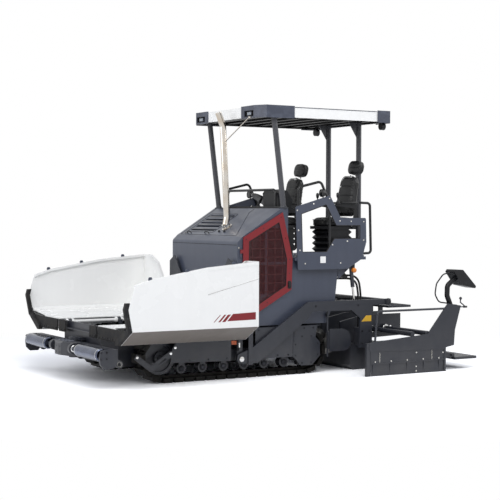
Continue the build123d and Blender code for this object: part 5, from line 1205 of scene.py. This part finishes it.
def sew(piece, lines, centre, along, side, depth=0.006, width=0.007):
    """Sewn channels: points on the crowned face sink by a bell curve of their distance from each line.

    A line is (across, value): it runs where the distance across the pad, measured from its centre, equals value.
    """
    points = points_of(piece.data)
    along = np.asarray(along, float) / np.linalg.norm(along)
    side = np.asarray(side, float)
    other = np.cross(along, side)
    local = points - np.asarray(centre, float)
    raised = 1 / (1 + np.exp(-(local @ along) / 0.006))
    for across, value in lines:
        offset = local @ (side if across == "side" else other) - value
        points -= (depth * raised * np.exp(-(offset / width) ** 2))[:, None] * along
    piece.data.vertices.foreach_set("co", points.ravel())
    piece.data.update()


class PAVER_OT_seats(bpy.types.Operator):
    """Two operator's seats: crowned cushion, tapered back and headrest with sewn channels and piping."""

    bl_idname = "paver.seats"
    bl_label = "Seats"

    def execute(self, context):
        sizes = context.scene.paver_seats
        upright = (math.cos(sizes.lean), 0, math.sin(sizes.lean))
        cushion = rounded_outline(0.455, 0.415, 0.07, 8)
        back = rounded_outline(0.40, 0.565, 0.09, 8)
        back[:, 0] *= 1 - 0.22 * np.clip(back[:, 1] / 0.28, 0, 1) ** 1.5
        head = rounded_outline(0.265, 0.18, 0.075, 8)
        forms = {
            "cushion": (cushion, (-0.915, SEAT_Y, 1.902), (0, 0, 1), (1, 0, 0), 0.088,
                        [("side", -0.07), ("side", 0.09), ("other", -0.125), ("other", 0.125)]),
            "back": (back, (-1.196, SEAT_Y, 2.284), upright, (0, 1, 0), 0.082,
                     [("side", -0.115), ("side", 0.115), ("other", -0.13), ("other", 0.0), ("other", 0.13)]),
            "headrest": (head, (-1.332, SEAT_Y, 2.668), upright, (0, 1, 0), 0.088, [("other", 0.0)]),
        }
        pads = {}
        for name, form in forms.items():
            pads[name] = add_piece(f"seat_{name}_left", pad(*form[:5], sizes.crown), "seat_vinyl", smooth=80)
        inflate(list(pads.values()), sizes.swell)
        for name, (_, base, along, side, thickness, lines) in forms.items():
            middle = np.asarray(base) + np.asarray(along) * thickness * 0.7
            sew(pads[name], lines, middle, along, side)
            twin_mesh = pads[name].data.copy()
            points = points_of(twin_mesh) * (1, -1, 1)
            twin_mesh.vertices.foreach_set("co", points.ravel())
            twin_mesh.flip_normals()
            twin = add_object(f"seat_{name}_right", twin_mesh)
            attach(twin, "chassis")
            for piece, node in ((pads[name], "seat_left"), (twin, "seat_right")):
                piece.data.shade_smooth()
                smoothing = piece.modifiers.new("smooth", "SUBSURF")
                smoothing.levels = smoothing.render_levels = 1
                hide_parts(node)
        # piping: a round cord sewn along each pad's rim
        trims = []
        for outline, base, along, side, thickness, _ in forms.values():
            along, side = np.asarray(along, float), np.asarray(side, float)
            along = along / np.linalg.norm(along)
            other = np.cross(along, side)
            ring = np.concatenate([outline, outline[:1]]) * 0.955
            path = np.asarray(base) + ring[:, :1] * side + ring[:, 1:] * other + along * thickness * 0.93
            trims.append(swept(path, 0.0045, 8))
        trim = joined(*trims)
        for side_name, surface in (("left", trim), ("right", mirrored(trim))):
            add_piece(f"seat_piping_{side_name}", surface, "black_plastic", smooth=60)
        return {"FINISHED"}


def seen_rays(tree):
    """Mask of the rays that the lens, a mirror or glass sends out."""
    ray = add_node(tree, "LightPath").outputs
    mirror = add_node(tree, "Math", {0: ray["Is Glossy Ray"], 1: ray["Is Transmission Ray"]},
                      operation="MAXIMUM")
    return add_node(tree, "Math", {0: ray["Is Camera Ray"], 1: mirror}, operation="MAXIMUM")


class PAVER_OT_stage(bpy.types.Operator):
    """A pale floor, soft lights over it and the camera at the photograph's angle."""

    bl_idname = "paver.stage"
    bl_label = "Stage"

    def execute(self, context):
        studio = context.scene.paver_studio
        floor = bpy.data.materials.new("paper_floor")
        tree = empty_tree(floor)
        # the lens, a mirror and glass see paper so pale that only the shadow is below white, and further out
        # they see plain white; every other ray meets the same paper at a plain level
        seen = seen_rays(tree)
        level = add_node(tree, "MapRange", {"Value": seen}, {"To Min": PLAIN_FLOOR, "To Max": studio.paper})
        paper = add_node(tree, "BsdfDiffuse", {"Color": level})
        white = add_node(tree, "Emission", values={"Color": grey(1.0)})
        spot = add_node(tree, "TexCoord").outputs["Object"]
        away = add_node(tree, "VectorMath", {0: spot}, operation="LENGTH").outputs["Value"]
        far = add_node(tree, "MapRange", {"Value": away}, {"From Min": WHITE_FROM, "From Max": WHITE_BY})
        fade = add_node(tree, "Math", {0: far, 1: seen}, operation="MULTIPLY")
        mixed = add_node(tree, "MixShader", {0: fade, 1: paper, 2: white})
        add_node(tree, "OutputMaterial", {"Surface": mixed})
        edges = (-FLOOR_REACH, FLOOR_REACH)
        points = np.array([[(x, y, 0.0) for y in edges] for x in edges])
        vertices, quads = grid(points)
        mesh = bpy.data.meshes.new("floor")
        mesh.from_pydata(vertices.tolist(), [], quads[:, ::-1].tolist())
        mesh.materials.append(floor)
        add_object("floor", mesh)

        world = context.scene.world = bpy.data.worlds.new("studio")
        sky = empty_tree(world)
        seen = seen_rays(sky)
        level = add_node(sky, "MapRange", {"Value": seen}, {"To Min": studio.sky, "To Max": 1.0})
        tint = add_node(sky, "Mix", {"Factor": seen}, {"A": (0.90, 0.95, 1.08, 1.0), "B": grey(1.0)},
                        data_type="RGBA").outputs["Result"]
        light = add_node(sky, "Background", {"Strength": level, "Color": tint})
        add_node(sky, "OutputWorld", {"Surface": light})

        for name, place, size, power in (("key", (3.5, 7.0, 8.5), 7.0, studio.key),
                                         ("fill", (9.0, -1.0, 5.0), 6.0, studio.key * 0.45),
                                         ("rim", (-7.5, 3.0, 6.0), 5.0, studio.key * 0.45)):
            lamp = bpy.data.lights.new(name, "AREA")
            lamp.shape = "SQUARE"
            lamp.size = size
            lamp.energy = power
            holder = add_object(name, lamp)
            holder.location = place
            aim = Vector((0, 0, 1.2)) - Vector(place)
            holder.rotation_euler = aim.to_track_quat("-Z", "Y").to_euler()

        camera_data = bpy.data.cameras.new("camera")
        camera_data.lens = studio.lens
        camera_data.sensor_width = CAMERA_SENSOR
        camera_data.clip_end = CAMERA_REACH
        camera = context.scene.camera = add_object("camera", camera_data)
        ahead = Vector((math.cos(studio.yaw) * math.cos(studio.pitch), math.sin(studio.yaw) * math.cos(studio.pitch),
                        math.sin(studio.pitch)))
        camera.rotation_mode = "QUATERNION"
        camera.location = studio.place
        camera.rotation_quaternion = ahead.to_track_quat("-Z", "Y") @ Quaternion((0, 0, 1), studio.roll)
        context.scene.view_settings.view_transform = "Standard"
        return {"FINISHED"}


# Settings by their name on the scene, and operators in the order in which they run
GROUPS = {"paver_colours": PaverColours, "paver_sizes": PaverSizes, "paver_seats": PaverSeats,
          "paver_studio": PaverStudio}
STEPS = (PAVER_OT_finishes, PAVER_OT_hopper, PAVER_OT_rollers, PAVER_OT_tracks, PAVER_OT_hood, PAVER_OT_doors,
         PAVER_OT_platform, PAVER_OT_controls, PAVER_OT_canopy, PAVER_OT_screed, PAVER_OT_seats, PAVER_OT_stage)


class PAVER_PT_panel(bpy.types.Panel):
    """Lists the settings and the pieces."""

    bl_idname = "PAVER_PT_panel"
    bl_label = "Asphalt paver"
    bl_space_type = "VIEW_3D"
    bl_region_type = "UI"
    bl_category = "Paver"

    def draw(self, context):
        for holder, group in GROUPS.items():
            for name in group.__annotations__:
                self.layout.prop(getattr(context.scene, holder), name)
        for step in STEPS:
            self.layout.operator(step.bl_idname)


def register():
    """Registers the settings, the operators and the panel."""
    for item in (*GROUPS.values(), *STEPS, PAVER_PT_panel):
        bpy.utils.register_class(item)
    for holder, group in GROUPS.items():
        setattr(bpy.types.Scene, holder, bpy.props.PointerProperty(type=group))


def unregister():
    """Takes them out again."""
    for holder in GROUPS:
        delattr(bpy.types.Scene, holder)
    for item in reversed((*GROUPS.values(), *STEPS, PAVER_PT_panel)):
        bpy.utils.unregister_class(item)


def main():
    register()
    for step in STEPS:
        family, name = step.bl_idname.split(".")
        getattr(getattr(bpy.ops, family), name)()
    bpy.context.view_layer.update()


if __name__ == "__main__":
    main()
